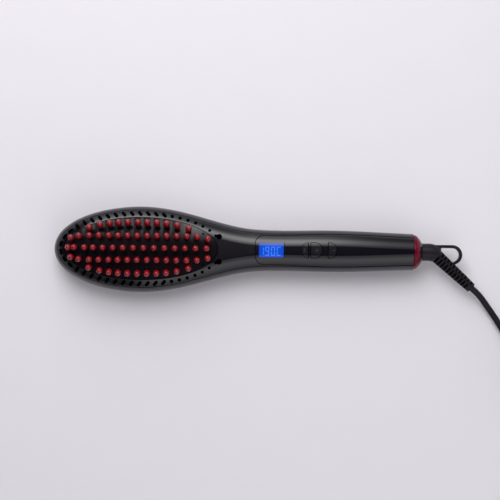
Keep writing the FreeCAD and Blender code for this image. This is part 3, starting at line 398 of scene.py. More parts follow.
# what is closed inside the housing: each finish and the nodes that have it
innerLooks = (
    (grained("heaterAlloy", (0.60, 0.60, 0.61), 0.4, Metallic=1.0), ("ptc_heaters",)),
    (grained("filmAmber", (0.45, 0.20, 0.03), 0.3), ("insulating_sheet",)),
    (grained("clampSteel", (0.35, 0.35, 0.36), 0.4, Metallic=1.0), ("heater_clamp",)),
    (grained("shieldMica", (0.30, 0.27, 0.22), 0.6, tone=0.3), ("heat_shield",)),
    (grained("boardGreen", (0.015, 0.11, 0.04), 0.35), ("control_board",)),
    (
        grained("partBlack", (0.012, 0.012, 0.012), 0.5),
        ("triac", "switch_body_minus", "switch_body_plus", "switch_body_power"),
    ),
    (grained("capacitorYellow", (0.55, 0.36, 0.03), 0.4), ("film_capacitor",)),
    (grained("fuseCeramic", (0.62, 0.60, 0.54), 0.5), ("board_fuse", "thermal_fuse", "thermistor")),
    (grained("wireWhite", (0.62, 0.62, 0.62), 0.5), ("heater_leads", "mains_leads")),
    (grained("contactBrass", (0.60, 0.42, 0.15), 0.3, Metallic=1.0), ("slip_rings", "slip_contacts")),
    (
        grained("plasticWhite", (0.60, 0.60, 0.57), 0.5),
        (
            "lcd_backlight",
            "lcd_frame",
            "contact_carrier",
            "switch_plunger_minus",
            "switch_plunger_plus",
            "switch_plunger_power",
        ),
    ),
    (screwSteel, ("board_screws", "clamp_screws")),
    (pinBlackAndPaintedShade, ("pad_pins", "neck_screws")),
    (displayBlue, ("lcd_glass",)),
    (stemBlack, ("swivel_stem",)),
)


def paint(thing, material):
    thing.data.materials.clear()
    thing.data.materials.append(material)


def paintInside():
    for material, names in innerLooks:
        for name in names:
            paint(nodes[name], material)


paintInside()
print("materials made:", len(bpy.data.materials))


# steps that several pieces share
def newPiece(name, bm, material, body, replaced=(), sharpAngle=35.0):
    # closes a bmesh into a smooth-shaded piece that rides on a body
    data = bpy.data.meshes.new(name)
    bm.to_mesh(data)
    bm.free()
    data.polygons.foreach_set("use_smooth", [True] * len(data.polygons))
    data.set_sharp_from_angle(angle=math.radians(sharpAngle))
    piece = bpy.data.objects.new(name, data)
    bpy.context.scene.collection.objects.link(piece)
    paint(piece, material)
    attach(piece, body)
    if replaced:
        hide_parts(*replaced)
    return piece


def mergedCopy(nodeName):
    bm = bmesh.new()
    bm.from_mesh(nodes[nodeName].data)
    bmesh.ops.remove_doubles(bm, verts=bm.verts, dist=weldDistance)
    bmesh.ops.dissolve_degenerate(bm, edges=bm.edges, dist=weldDistance / 2)
    return bm


def softenEdges(piece, width, segments=2, angle=40.0):
    bevel = piece.modifiers.new("softEdges", "BEVEL")
    bevel.width = width
    bevel.segments = segments
    bevel.limit_method = "ANGLE"
    bevel.angle_limit = math.radians(angle)
    bevel.harden_normals = False
    even = piece.modifiers.new("evenNormals", "WEIGHTED_NORMAL")
    even.keep_sharp = True
    even.weight = 80


def smoothNode(nodeName, pieceName, material, body, edge=None, sharpAngle=35.0):
    # the node's own shape with its corners welded, shaded round
    piece = newPiece(pieceName, mergedCopy(nodeName), material, body, [nodeName], sharpAngle)
    if edge:
        softenEdges(piece, edge)
    return piece


def looseParts(bm):
    # the vertices of each separate solid
    left = set(bm.verts)
    groups = []
    while left:
        group = []
        stack = [left.pop()]
        while stack:
            vert = stack.pop()
            group.append(vert)
            for edge in vert.link_edges:
                other = edge.other_vert(vert)
                if other in left:
                    left.remove(other)
                    stack.append(other)
        groups.append(group)
    return groups


def addBox(bm, low, high):
    # a box between two corners
    low, high = Vector(low), Vector(high)
    made = bmesh.ops.create_cube(bm, size=1.0)
    size = high - low
    bmesh.ops.scale(bm, vec=size, verts=made["verts"])
    bmesh.ops.translate(bm, vec=(low + high) / 2, verts=made["verts"])
    return made["verts"]


def spinProfile(profile, steps):
    # a closed round shape about Z from (radius, height) points
    bm = bmesh.new()
    verts = [bm.verts.new((radius, 0.0, height)) for radius, height in profile]
    edges = [bm.edges.new(pair) for pair in zip(verts, verts[1:])]
    bmesh.ops.spin(
        bm,
        geom=verts + edges,
        cent=(0.0, 0.0, 0.0),
        axis=(0.0, 0.0, 1.0),
        angle=math.tau,
        steps=steps,
        use_merge=True,
    )
    bmesh.ops.remove_doubles(bm, verts=bm.verts, dist=weldDistance / 2)
    bmesh.ops.recalc_face_normals(bm, faces=bm.faces)
    return bm


# the body's outline in plan and its curved front
bodySkin = {
    "noseX": -0.1376,
    "headHalfWidth": 0.0321,
    "noseLength": 0.067,  # nose to the widest place of the head
    "noseFullness": 2.06,
    "noseSteps": 5,
    "neckLength": 0.096,
    "neckShape": ((0.33, 0.737), (0.6, 0.32), (0.81, 0.069), (1.0, 0.0)),  # way down the neck, width left
    "waistHalfWidth": 0.0152,
    "grip": ((0.04384, 0.0156), (0.092064, 0.01406), (0.1096, 0.0134)),  # past the waist, half width
    "widest": 0.013,
    "crown": 0.026,
    "crownReach": 0.0126,
    "slack": 0.00003,  # how near to the skin counts as on it
    "levelWithin": 30,  # degrees between a face and the skin that it lies on
    "outlineSteps": 1600,
    "batch": 4000,  # points worked out at a time
}


def outlineSide(skin):
    # one side of the outline in plan, from the nose to the end of the handle
    points = []
    widestX = skin["noseX"] + skin["noseLength"]
    for number in range(skin["noseSteps"] + 1):
        turn = math.pi / 2 * number / skin["noseSteps"]
        power = 2 / skin["noseFullness"]
        x = widestX - skin["noseLength"] * math.cos(turn) ** power
        points.append((x, skin["headHalfWidth"] * math.sin(turn) ** power))
    narrowing = skin["headHalfWidth"] - skin["waistHalfWidth"]
    for along, share in skin["neckShape"]:
        points.append((widestX + skin["neckLength"] * along, skin["waistHalfWidth"] + narrowing * share))
    waistX = widestX + skin["neckLength"]
    return points + [(waistX + along, width) for along, width in skin["grip"]]


def splineThrough(points, count):
    # an even cubic spline through points: places and directions along it
    points = np.array(points)
    chords = np.linalg.norm(np.diff(points, axis=0), axis=1)
    knots = np.concatenate(([0.0], np.cumsum(chords)))
    last = len(points) - 1
    matrix = np.zeros((last + 1, last + 1))
    right = np.zeros((last + 1, 2))
    matrix[0, 0] = matrix[last, last] = 1.0
    for i in range(1, last):
        matrix[i, i - 1 : i + 2] = chords[i - 1], 2 * (chords[i - 1] + chords[i]), chords[i]
        turn = (points[i + 1] - points[i]) / chords[i] - (points[i] - points[i - 1]) / chords[i - 1]
        right[i] = 6 * turn
    bends = np.linalg.solve(matrix, right)
    places = np.linspace(0.0, knots[-1], count)
    spans = np.clip(np.searchsorted(knots, places) - 1, 0, last - 1)
    run = chords[spans][:, None]
    before = (places - knots[spans])[:, None]
    after = run - before
    near, away = points[spans], points[spans + 1]
    bendNear, bendAway = bends[spans], bends[spans + 1]
    path = (bendNear * after**3 + bendAway * before**3) / (6 * run)
    path += (near / run - bendNear * run / 6) * after + (away / run - bendAway * run / 6) * before
    ways = (bendAway * before**2 - bendNear * after**2) / (2 * run)
    ways += (away - near) / run - (bendAway - bendNear) * run / 6
    return path, ways / np.linalg.norm(ways, axis=1)[:, None]


def outlinePath(skin):
    side = outlineSide(skin)
    loop = [(x, y) for x, y in reversed(side)] + [(x, -y) for x, y in side[1:]]
    path, ways = splineThrough(loop, skin["outlineSteps"])
    return path, np.stack((ways[:, 1], -ways[:, 0]), axis=1)


outlinePlaces, outlineWays = outlinePath(bodySkin)


def skinNormals(points, skin, grow):
    # for each point its normal on the curved-over front, and whether it lies there
    depth = np.empty(len(points))
    out = np.empty((len(points), 2))
    for start in range(0, len(points), skin["batch"]):
        batch = slice(start, start + skin["batch"])
        part = points[batch, :2]
        gaps = ((part[:, None, :] - outlinePlaces[None, :, :]) ** 2).sum(axis=2)
        nearest = gaps.argmin(axis=1)
        side = outlineWays[nearest]
        depth[batch] = ((outlinePlaces[nearest] - part) * side).sum(axis=1)
        out[batch] = side
    reach = skin["crownReach"] + grow
    rise = skin["crown"] + grow - skin["widest"]
    share = np.clip(1 - (depth + grow) / reach, 0.0, 1.0 - 1e-6)
    level = np.sqrt(1 - share**2)
    steep = rise / reach * share / level
    upright = 1 / np.sqrt(1 + steep**2)
    normals = np.column_stack((out * (steep * upright)[:, None], upright))
    lies = np.abs(points[:, 2] - skin["widest"] - rise * level) * upright < skin["slack"]
    return normals, lies & (points[:, 2] > skin["widest"] - skin["slack"])


def skinDrop(place):
    # how far under the crown the skin is at a place, by the distance to the outline
    depth = np.min(np.linalg.norm(outlinePlaces - np.array(place[:2]), axis=1))
    share = max(0.0, 1 - depth / bodySkin["crownReach"])
    return (bodySkin["crown"] - bodySkin["widest"]) * (1 - math.sqrt(1 - share**2))


def skinFaces(piece, grow=0.0):
    # the skin's normal at each vertex, and the faces that lie on it
    data = piece.data
    points = np.empty(len(data.vertices) * 3)
    data.vertices.foreach_get("co", points)
    normals, lies = skinNormals(points.reshape(-1, 3), bodySkin, grow)
    faces = set()
    for face in data.polygons:
        if all(lies[number] for number in face.vertices):
            level = Vector(normals[list(face.vertices)].mean(axis=0))
            if level.angle(face.normal) < math.radians(bodySkin["levelWithin"]):
                faces.add(face.index)
    return normals, faces


def drawIn(piece, gap):
    # a piece's sides moved in a little, so the seam round it reads as a line
    low = Vector(min(vertex.co[axis] for vertex in piece.data.vertices) for axis in range(3))
    high = Vector(max(vertex.co[axis] for vertex in piece.data.vertices) for axis in range(3))
    middle = (low + high) / 2
    for vertex in piece.data.vertices:
        for axis in (0, 1):
            vertex.co[axis] -= (vertex.co[axis] - middle[axis]) * gap / (high[axis] - middle[axis])


def cleanNormals(piece, grow=0.0, gap=0.0):
    # the faces that lie on the skin are shaded as the smooth skin itself
    data = piece.data
    normals, faces = skinFaces(piece, grow)
    drawIn(piece, gap)
    corners = [tuple(corner.vector) for corner in data.corner_normals]
    for index in faces:
        face = data.polygons[index]
        for loop, number in zip(face.loop_indices, face.vertices):
            corners[loop] = tuple(normals[number])
    data.normals_split_custom_set(corners)


mainsCord = {
    "diameter": 0.0048,
    "length": 1.6,
    "lead": [
        (0.1755, -0.0262, 0.0090),
        (0.1812, -0.0307, 0.0073),
        (0.1872, -0.0385, 0.0053),
        (0.1982, -0.0538, 0.0033),
        (0.2075, -0.0712, 0.0029),
    ],
    "tail": [
        (0.2764, -0.0696, 0.0118),
        (0.2762, -0.0566, 0.0086),
        (0.2764, -0.0436, 0.0070),
    ],
    "coilCentre": (0.2435, -0.0800),
    "turnRadii": (0.0329, 0.0280, 0.0231),  # outer to inner column
    "layerHeights": (0.0033, 0.0082, 0.0131),
    "turnOrder": ((0, 0), (1, 0), (2, 0), (2, 1), (2, 2), (1, 2), (1, 1), (0, 1), (0, 2)),
    "firstAngle": 200,  # degrees, where the lead joins the outer turn
    "changeAngles": (200, 200, 176, 176, 152, 128, 104, 80),  # where each turn steps over to the next
    "changeSpan": 44,
    "pointsPerTurn": 24,
    "roundness": 5,
    "smoothness": 6,
}


def coilPoint(cord, angle):
    # a place on the put-away turns, at an angle that keeps growing
    share = 0.0
    number = 0
    for turn, change in enumerate(cord["changeAngles"], 1):
        start = change + 360 * turn - cord["changeSpan"] / 2
        if angle >= start:
            number = turn - 1
            share = min(1.0, (angle - start) / cord["changeSpan"])
    share = share * share * (3 - 2 * share)
    here, after = cord["turnOrder"][number], cord["turnOrder"][number + 1]
    radius = cord["turnRadii"][here[0]] * (1 - share) + cord["turnRadii"][after[0]] * share
    height = cord["layerHeights"][here[1]] * (1 - share) + cord["layerHeights"][after[1]] * share
    radius /= math.cos(math.pi / cord["pointsPerTurn"])  # the line runs inside its points
    turned = math.radians(angle)
    x, y = cord["coilCentre"]
    return (x + radius * math.cos(turned), y + radius * math.sin(turned), height)


def makeCord(cord):
    step = 360 // cord["pointsPerTurn"]
    lastAngle = 360 * len(cord["turnOrder"])
    turns = [coilPoint(cord, angle) for angle in range(cord["firstAngle"], lastAngle + 1, step)]
    points = cord["lead"] + turns + cord["tail"]
    curve = bpy.data.curves.new("mainsCord", "CURVE")
    curve.dimensions = "3D"
    curve.bevel_depth = cord["diameter"] / 2
    curve.bevel_resolution = cord["roundness"]
    curve.resolution_u = cord["smoothness"]
    curve.use_fill_caps = True
    line = curve.splines.new("NURBS")
    line.points.add(len(points) - 1)
    for point, place in zip(line.points, points):
        point.co = (*place, 1.0)
    line.order_u = 3
    line.use_endpoint_u = True
    line.use_smooth = True
    piece = bpy.data.objects.new("mainsCord", curve)
    bpy.context.scene.collection.objects.link(piece)
    piece.data.materials.append(cordBlack)
    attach(piece, "cord_swivel")
    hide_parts("cord_lead", "cord_coil", "cord_tail")
    return piece


cordPiece = makeCord(mainsCord)
print("cord laid")


cordTie = {
    "cornerRadius": 0.0022,
    "cornerSegments": 5,
    "width": 0.0070,
    "thickness": 0.0006,
    "slack": 0.0001,
    "angle": 130.0,  # degrees round the coil
}


def makeTie(tie, cord):
    # a tape wrapped round the section of the turns
    radii, heights, half = cord["turnRadii"], cord["layerHeights"], cord["diameter"] / 2
    slack = tie["slack"]
    low = Vector((min(radii) - half - slack, 0.0, min(heights) - half - slack))
    high = Vector((max(radii) + half + slack, 0.0, max(heights) + half + slack))
    bm = bmesh.new()
    corners = [(low.x, low.z), (high.x, low.z), (high.x, high.z), (low.x, high.z)]
    face = bm.faces.new([bm.verts.new((x, -tie["width"] / 2, z)) for x, z in corners])
    bmesh.ops.bevel(
        bm,
        geom=list(face.verts),
        affect="VERTICES",
        offset=tie["cornerRadius"],
        segments=tie["cornerSegments"],
        profile=0.5,
        material=-1,
    )
    rim = list(bm.edges)
    bmesh.ops.delete(bm, geom=list(bm.faces), context="FACES_ONLY")
    grown = bmesh.ops.extrude_edge_only(bm, edges=rim)
    moved = [part for part in grown["geom"] if isinstance(part, bmesh.types.BMVert)]
    bmesh.ops.translate(bm, vec=(0.0, tie["width"], 0.0), verts=moved)
    bmesh.ops.recalc_face_normals(bm, faces=bm.faces)
    x, y = cord["coilCentre"]
    place = Matrix.Translation((x, y, 0.0)) @ Matrix.Rotation(math.radians(tie["angle"]), 4, "Z")
    bmesh.ops.transform(bm, matrix=place, verts=bm.verts)
    piece = newPiece("cordTie", bm, tieBlack, "cord_swivel", ["cord_tie"])
    wrap = piece.modifiers.new("tapeThickness", "SOLIDIFY")
    wrap.thickness = tie["thickness"]
    wrap.offset = 1.0
    return piece


tiePiece = makeTie(cordTie, mainsCord)


plug = {"edge": 0.0008}


def makePlug(look):
    body = smoothNode("plug_body", "plugBody", plugBlack, "cord_swivel", edge=look["edge"])
    pins = smoothNode("plug_pins", "plugPins", pinSteel, "cord_swivel")
    return [body, pins]


plugPieces = makePlug(plug)


boot = {
    "elbow": (0.1458, 0.0, 0.013),
    "tip": (0.1755, -0.0262, 0.0090),
    "radii": (0.0053, 0.0039),
    "slotted": (0.12, 0.95),  # shares of its length between which it has slots
    "inside": 0.95,  # share of the radius under which a face lies in a slot
    "edge": 0.0002,
}
hangingLoop = {"edge": 0.0006}


def makeStrainRelief(look):
    piece = smoothNode(
        "strain_relief", "strainRelief", reliefBlack, "cord_swivel", edge=look["edge"]
    )
    # painted shade: the faces inside the boot's slots get the near-black material
    piece.data.materials.append(pinBlackAndPaintedShade)
    elbow, tip = Vector(look["elbow"]), Vector(look["tip"])
    length = (tip - elbow).length
    along = (tip - elbow) / length
    for face in piece.data.polygons:
        offset = Vector(face.center) - elbow
        share = offset.dot(along) / length
        radius = look["radii"][0] + (look["radii"][1] - look["radii"][0]) * share
        depth = (offset - along * offset.dot(along)).length
        if look["slotted"][0] < share < look["slotted"][1] and depth < radius * look["inside"]:
            face.material_index = 1
    return piece


def makeHangingLoop(look):
    return smoothNode(
        "hanging_loop", "hangingLoop", reliefBlack, "cord_swivel", edge=look["edge"]
    )


reliefPieces = [makeStrainRelief(boot), makeHangingLoop(hangingLoop)]

print("cord's own pieces made")


# the housing, the panel and the handle's end
# bounds of the painted shade in the ring of vents, the screw wells and the panel seam
vents = {
    "reach": 0.0056,  # how far outside the pad the ring of vents goes
    "clear": -0.0015,  # and where it starts, a little under the pad's rim
    "depth": 0.012,  # height above the table down to which a vent looks dark
    "wellRadius": 0.0023,
    "seamReach": 0.001,
}
housing = {
    "sharpAngle": 30.0,
    "endSharpAngle": 25.0,
    "seam": 0.00025,  # the inlays are drawn in by it
    "padWall": 0.6,  # a pad face that is steeper than this is its wall
}


def paintShadeInVents(shells, look):
    # painted shade: the faces seen down the vents, down the two screw wells and in the seam round the panel
    # get the near-black material
    panelLow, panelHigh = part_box("control_panel")
    padLow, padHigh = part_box("heating_pad")
    centre = (padLow + padHigh) / 2
    half = (padHigh - padLow) / 2
    screwLow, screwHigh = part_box("neck_screws")
    wellX = (screwLow.x + screwHigh.x) / 2
    wellY = screwHigh.y - (screwHigh.x - screwLow.x) / 2
    for shell in shells:
        shell.data.materials.append(pinBlackAndPaintedShade)
        outside = skinFaces(shell)[1]
        for face in shell.data.polygons:
            if face.index in outside:
                continue
            x, y, z = face.center
            offset = (math.hypot((x - centre.x) / half.x, y / half.y) - 1) * half.y
            ringed = look["clear"] < offset < look["reach"] and x < wellX
            sunk = math.hypot(x - wellX, abs(y) - wellY) < look["wellRadius"]
            seam = panelLow.x - look["seamReach"] < x and abs(y) < panelHigh.y + look["seamReach"]
            inside = ringed or sunk or (seam and z > panelLow.z)
            if inside and z > look["depth"]:
                face.material_index = 1


def paintShadeOnWalls(piece, steepest=0.3):
    # painted shade: a piece's steep sides get the near-black material, as if no light reached them
    piece.data.materials.append(pinBlackAndPaintedShade)
    for face in piece.data.polygons:
        if abs(face.normal.z) < steepest:
            face.material_index = 1


def paintShadeOnInlaySides(piece, grow=0.0):
    # painted shade: the sides and ledges of an inlay, all but what lies on the skin, get the near-black
    # material
    piece.data.materials.append(pinBlackAndPaintedShade)
    outside = skinFaces(piece, grow)[1]
    for face in piece.data.polygons:
        if face.index not in outside:
            face.material_index = 1


def makeHousing(look):
    made = [
        smoothNode(node, name, material, "brush_body", sharpAngle=look["sharpAngle"])
        for node, name, material, slotName in (
            ("front_housing", "frontHousing", shellBlack, "shell_black"),
            ("rear_housing", "rearHousing", shellBlack, "shell_black"),
            ("control_panel", "controlPanel", panelBlack, "panel_black"),
            ("display_lens", "displayLens", displayBlue, "lens_clear"),
        )
    ]
    front, rear, panel, lens = made
    # painted shade in the vents, wells and panel seam, on the panel's sides and on the lens's walls
    paintShadeInVents((front, rear), vents)
    paintShadeOnInlaySides(panel)
    paintShadeOnWalls(lens)
    for piece in (front, rear, lens):
        cleanNormals(piece)
    cleanNormals(panel, gap=look["seam"])


def makeHandleEnd(look):
    smoothNode("end_ring", "endRing", ringRed, "brush_body", sharpAngle=look["endSharpAngle"])
    smoothNode("end_cap", "endCap", capBlack, "brush_body", sharpAngle=look["endSharpAngle"])


def makePad(look):
    pad = smoothNode(
        "heating_pad", "heatingPad", padBlack, "brush_body", sharpAngle=look["endSharpAngle"]
    )
    # painted shade on the pad's walls, so the gap round the pad reads as a dark line
    paintShadeOnWalls(pad, look["padWall"])
    drawIn(pad, look["seam"])


makeHousing(housing)
makeHandleEnd(housing)
makePad(housing)
print("housing made")


bristle = {
    "rows": 5,
    "tipProfile": (  # shares of the tip's radius and length
        (0.00, 0.00),
        (0.70, 0.00),
        (0.80, 0.02),
        (0.84, 0.08),
        (0.84, 0.13),
        (0.93, 0.17),
        (0.98, 0.24),
        (1.00, 0.34),
        (0.99, 0.46),
        (0.95, 0.60),
        (0.86, 0.74),
        (0.72, 0.86),
        (0.52, 0.95),
        (0.27, 0.99),
        (0.00, 1.00),
    ),
    "tipScale": 1.13,
    "tipSteps": 20,
    "postProfile": (  # the same for a post, with its flared foot
        (0.00, 0.00),
        (1.25, 0.00),
        (1.08, 0.06),
        (1.00, 0.14),
        (0.93, 0.50),
        (0.86, 1.00),
        (0.00, 1.00),
    ),
    "postSteps": 16,
    "sharpAngle": 60.0,
}


def bristleFrames(row):
    # base point, direction, length and radius of each tip of a row, and the same for its post
    teeth = mergedCopy(f"tooth_row_{row}")
    tips = mergedCopy(f"tip_row_{row}")
    posts = [[vert.co.copy() for vert in group] for group in looseParts(teeth)]
    found = []
    for group in looseParts(tips):
        tip = [vert.co.copy() for vert in group]
        centre = sum(tip, Vector()) / len(tip)
        post = min(posts, key=lambda p: (sum(p, Vector()) / len(p) - centre).length)
        foot = sum(post, Vector()) / len(post)
        along = (centre - foot).normalized()
        found.append((measureAlong(tip, centre, along), measureAlong(post, centre, along)))
    teeth.free()
    tips.free()
    return found


def measureAlong(points, centre, along):
    reach = [(point - centre).dot(along) for point in points]
    radius = max(((point - centre) - along * (point - centre).dot(along)).length for point in points)
    return centre + along * min(reach), along, max(reach) - min(reach), radius


def addTurned(bm, template, place):
    base, along, length, radius = place
    turn = Vector((0.0, 0.0, 1.0)).rotation_difference(along).to_matrix().to_4x4()
    size = Matrix.Diagonal((radius, radius, length, 1.0))
    copy = template.copy()
    copy.transform(Matrix.Translation(base) @ turn @ size)
    bm.from_mesh(copy)
    bpy.data.meshes.remove(copy)


def templateMesh(name, profile, steps):
    bm = spinProfile(profile, steps)
    data = bpy.data.meshes.new(name)
    bm.to_mesh(data)
    bm.free()
    return data


def makeBristles(look):
    tipShape = templateMesh("tipShape", look["tipProfile"], look["tipSteps"])
    postShape = templateMesh("postShape", look["postProfile"], look["postSteps"])
    sharp = look["sharpAngle"]
    for row in range(1, look["rows"] + 1):
        tips = bmesh.new()
        posts = bmesh.new()
        for tip, post in bristleFrames(row):
            base, along, length, radius = tip
            addTurned(tips, tipShape, (base, along, length, radius * look["tipScale"]))
            addTurned(posts, postShape, post)
        newPiece(f"tipRow{row}", tips, tipRed, "brush_body", [f"tip_row_{row}"], sharp)
        postNode = f"tooth_row_{row}"
        newPiece(f"postRow{row}", posts, toothBlack, "brush_body", [postNode], sharp)
    bpy.data.meshes.remove(tipShape)
    bpy.data.meshes.remove(postShape)


makeBristles(bristle)
print("bristles made")


digits = {
    "text": "190C",
    "centres": (0.0179, 0.0218, 0.0261, 0.0303),
    "height": 0.0066,
    "drop": 0.0010,
    "width": 0.0029,
    "stroke": 0.00062,
    "notch": 1.2,  # strokes left free at a corner
    "lean": 0.03,
    "lift": 0.00002,
    "thickness": 0.00003,
    "segments": {"0": "abcdef", "1": "bc", "9": "abcdfg", "C": "adef"},
}


def makeDigits(look):
    top = bodySkin["crown"] + look["lift"]
    half, reach, stroke = look["width"] / 2, look["height"] / 2, look["stroke"]
    notch = stroke * look["notch"]
    bars = {
        "a": ((-half, reach - stroke), (half, reach)),
        "b": ((half - stroke, stroke / 2), (half, reach - notch)),
        "c": ((half - stroke, notch - reach), (half, -stroke / 2)),
        "d": ((-half, -reach), (half, stroke - reach)),
        "e": ((-half, notch - reach), (stroke - half, -stroke / 2)),
        "f": ((-half, stroke / 2), (stroke - half, reach - notch)),
        "g": ((-half + stroke, -stroke / 2), (half - stroke, stroke / 2)),
    }
    bm = bmesh.new()
    for sign, centre in zip(look["text"], look["centres"]):
        for name in look["segments"][sign]:
            (left, bottom), (right, over) = bars[name]
            verts = addBox(bm, (left, bottom, top), (right, over, top + look["thickness"]))
            for vert in verts:
                vert.co.x += centre + vert.co.y * look["lean"]
                vert.co.y -= look["drop"]
                vert.co.z -= skinDrop(vert.co)
    newPiece("displayDigits", bm, digitPale, "brush_body")


makeDigits(digits)


button = {"sharpAngle": 30.0, "gap": 0.0004, "proud": 0.00045}
buttonMark = {"stroke": 0.00038, "reach": 0.0013, "powerReach": 1.3, "thickness": 0.00004}


def makeButtons(look):
    for name in ("minus", "plus", "power"):
        node = f"button_{name}"
        body = f"{name}_button"
        piece = smoothNode(
            node, f"{name}Button", buttonBlack, body, sharpAngle=look["sharpAngle"]
        )
        # painted shade on the button's sides and ledges
        paintShadeOnInlaySides(piece, look["proud"])
        cleanNormals(piece, look["proud"], look["gap"])


def addMark(bm, name, centre, top, mark):
    stroke, reach = mark["stroke"] / 2, mark["reach"]
    x, y = centre
    if name in ("minus", "plus"):
        addBox(bm, (x - stroke, y - reach, top), (x + stroke, y + reach, top + mark["thickness"]))
    if name == "plus":
        addBox(bm, (x - reach, y - stroke, top), (x + reach, y + stroke, top + mark["thickness"]))
    if name == "power":
        end = x + reach * mark["powerReach"]
        addBox(bm, (x, y - stroke, top), (end, y + stroke, top + mark["thickness"]))


def makeButtonMarks(mark):
    for name in ("minus", "plus", "power"):
        low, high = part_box(f"button_{name}")
        bm = bmesh.new()
        addMark(bm, name, ((low.x + high.x) / 2, 0.0), high.z, mark)
        newPiece(f"{name}Mark", bm, symbolGrey, f"{name}_button")


makeButtons(button)
makeButtonMarks(buttonMark)
print("display and buttons made")


studio = {
    "floorColour": (0.765, 0.748, 0.788),
    "floorSize": 12.0,
    "floorDrop": 0.0002,
    "floorRoughness": 0.85,
    "floorGloss": 0.1,
    "horizonColour": (0.62, 0.61, 0.66),
    "eastGlow": 1.4,  # how much brighter the horizon is past the cord end
    "zenithColour": (0.03, 0.028, 0.035),
    "horizonTo": 0.12,  # heights, as shares of straight up, between which it darkens
    "zenithFrom": 0.55,
    "cardRadius": 1.2,  # the cards are curved round the line that the brush lies along
    "cardSteps": 24,
    "cards": (
        {
            "name": "northCard",
            "angles": (3.0, 84.0),  # degrees from straight up, to the brush's left
            "span": (-0.6, 1.2),
            "fade": (0.05, 0.30),  # it darkens towards the cord end
            "faded": 0.20,
            "cast": 1.08,  # share of it that falls on what is dull
            "strength": 5.4,
            "colour": (1.0, 0.985, 1.0),
            "stops": ((0.0, 0.03), (0.10, 0.38), (0.36, 1.0), (0.46, 1.0), (0.75, 0.36), (1.0, 0.18)),
        },
        {
            "name": "southCard",
            "angles": (-8.0, -84.0),
            "span": (-1.2, 1.2),
            "fade": (-0.05, -0.25),
            "faded": 0.15,
            "cast": 0.92,
            "strength": 1.5,
            "colour": (0.98, 0.97, 1.0),
            "stops": ((0.0, 0.30), (0.10, 0.50), (0.45, 1.0), (0.65, 0.80), (1.0, 0.42)),
        },
    ),
}


def makeFloor(look):
    bm = bmesh.new()
    bmesh.ops.create_grid(bm, x_segments=1, y_segments=1, size=look["floorSize"] / 2)
    bmesh.ops.translate(bm, vec=(0.0, 0.0, -look["floorDrop"]), verts=bm.verts)
    data = bpy.data.meshes.new("floor")
    bm.to_mesh(data)
    bm.free()
    floor = bpy.data.objects.new("floor", data)
    bpy.context.scene.collection.objects.link(floor)
    colour, roughness = look["floorColour"], look["floorRoughness"]
    pale = grained("floorPale", colour, roughness, tone=0.01, scale=300.0, bump=0.0)
    shader = pale.node_tree.nodes["Principled BSDF"]
    shader.inputs["Specular IOR Level"].default_value = look["floorGloss"]
    paint(floor, pale)


def makeWorld(look):
    # pale at the horizon, dark overhead
    world = bpy.data.worlds.new("studioWorld")
    bpy.context.scene.world = world
    world.use_nodes = True
    tree = world.node_tree
    background = tree.nodes["Background"]
    split = tree.nodes.new("ShaderNodeSeparateXYZ")
    ramp = tree.nodes.new("ShaderNodeValToRGB")
    ramp.color_ramp.elements[0].position = look["horizonTo"]
    ramp.color_ramp.elements[0].color = (*look["horizonColour"], 1.0)
    ramp.color_ramp.elements[1].position = look["zenithFrom"]
    ramp.color_ramp.elements[1].color = (*look["zenithColour"], 1.0)
    tree.links.new(tree.nodes.new("ShaderNodeTexCoord").outputs["Generated"], split.inputs[0])
    tree.links.new(split.outputs["Z"], ramp.inputs["Fac"])
    tree.links.new(ramp.outputs["Color"], background.inputs["Color"])
    east = mathNode(tree, "MAXIMUM", split.outputs["X"], 0.0)
    glow = mathNode(tree, "ADD", mathNode(tree, "MULTIPLY", east, look["eastGlow"]), 1.0)
    tree.links.new(glow, background.inputs["Strength"])


def makeCardGroup():
    # how far round and how far along a card a point lies
    group, given, made = newGroup(
        "cardShape",
        (
            ("First Angle", "NodeSocketFloat", 0.0),
            ("Last Angle", "NodeSocketFloat", 1.0),
            ("Fade Start", "NodeSocketFloat", 0.0),
            ("Fade End", "NodeSocketFloat", 1.0),
            ("Faded", "NodeSocketFloat", 0.0),
        ),
        (("Round", "NodeSocketFloat"), ("Fade", "NodeSocketFloat")),
    )
    split = group.nodes.new("ShaderNodeSeparateXYZ")
    group.links.new(group.nodes.new("ShaderNodeTexCoord").outputs["Object"], split.inputs[0])
    angle = mathNode(group, "ARCTAN2", split.outputs["Y"], split.outputs["Z"])
    turned = group.nodes.new("ShaderNodeMapRange")
    group.links.new(angle, turned.inputs["Value"])
    group.links.new(given.outputs["First Angle"], turned.inputs["From Min"])
    group.links.new(given.outputs["Last Angle"], turned.inputs["From Max"])
    group.links.new(turned.outputs["Result"], made.inputs["Round"])
    fading = group.nodes.new("ShaderNodeMapRange")
    fading.interpolation_type = "SMOOTHSTEP"
    group.links.new(split.outputs["X"], fading.inputs["Value"])
    group.links.new(given.outputs["Fade Start"], fading.inputs["From Min"])
    group.links.new(given.outputs["Fade End"], fading.inputs["From Max"])
    fading.inputs["To Min"].default_value = 1.0
    group.links.new(given.outputs["Faded"], fading.inputs["To Max"])
    group.links.new(fading.outputs["Result"], made.inputs["Fade"])
    return group


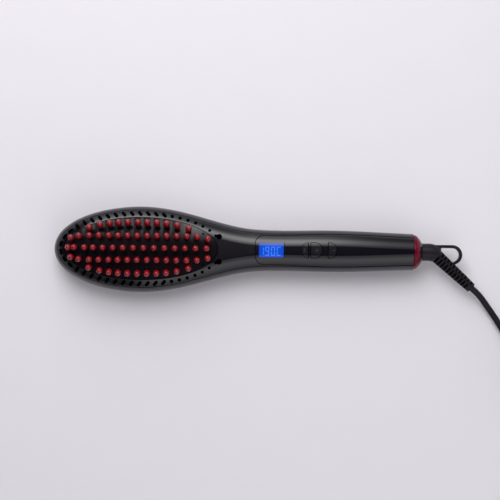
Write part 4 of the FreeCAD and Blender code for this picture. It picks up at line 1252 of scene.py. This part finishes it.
def makeCardMaterial(card, group):
    material = bpy.data.materials.new(card["name"])
    material.use_nodes = True
    tree = material.node_tree
    tree.nodes.remove(tree.nodes["Principled BSDF"])
    shape = tree.nodes.new("ShaderNodeGroup")
    shape.node_tree = group
    values = [math.radians(angle) for angle in card["angles"]] + [*card["fade"], card["faded"]]
    for socket, value in zip(shape.inputs, values):
        socket.default_value = value
    ramp = tree.nodes.new("ShaderNodeValToRGB")
    ramp.color_ramp.interpolation = "EASE"
    stops = ramp.color_ramp.elements
    while len(stops) < len(card["stops"]):
        stops.new(0.5)
    for stop, (position, level) in zip(stops, card["stops"]):
        stop.position = position
        stop.color = (level, level, level, 1.0)
    glow = tree.nodes.new("ShaderNodeEmission")
    glow.inputs["Color"].default_value = (*card["colour"], 1.0)
    tree.links.new(shape.outputs["Round"], ramp.inputs["Fac"])
    level = mathNode(tree, "MULTIPLY", ramp.outputs["Color"], shape.outputs["Fade"])
    dull = tree.nodes.new("ShaderNodeLightPath").outputs["Is Diffuse Ray"]
    share = mathNode(tree, "ADD", mathNode(tree, "MULTIPLY", dull, card["cast"] - 1), 1.0)
    level = mathNode(tree, "MULTIPLY", level, share)
    tree.links.new(mathNode(tree, "MULTIPLY", level, card["strength"]), glow.inputs["Strength"])
    tree.links.new(glow.outputs["Emission"], tree.nodes["Material Output"].inputs["Surface"])
    return material


def makeCards(look):
    # curved soft light cards over the brush, outside the camera's view
    group = makeCardGroup()
    for card in look["cards"]:
        bm = bmesh.new()
        rows = []
        first, last = card["angles"]
        for number in range(look["cardSteps"] + 1):
            angle = math.radians(first + (last - first) * number / look["cardSteps"])
            y, z = look["cardRadius"] * math.sin(angle), look["cardRadius"] * math.cos(angle)
            rows.append([bm.verts.new((x, y, z)) for x in card["span"]])
        for near, away in zip(rows, rows[1:]):
            bm.faces.new((near[0], near[1], away[1], away[0]))
        data = bpy.data.meshes.new(card["name"])
        bm.to_mesh(data)
        bm.free()
        piece = bpy.data.objects.new(card["name"], data)
        bpy.context.scene.collection.objects.link(piece)
        paint(piece, makeCardMaterial(card, group))
        piece.visible_camera = False


makeFloor(studio)
makeWorld(studio)
makeCards(studio)
bpy.context.scene.view_settings.view_transform = "Standard"
print("stage lit")
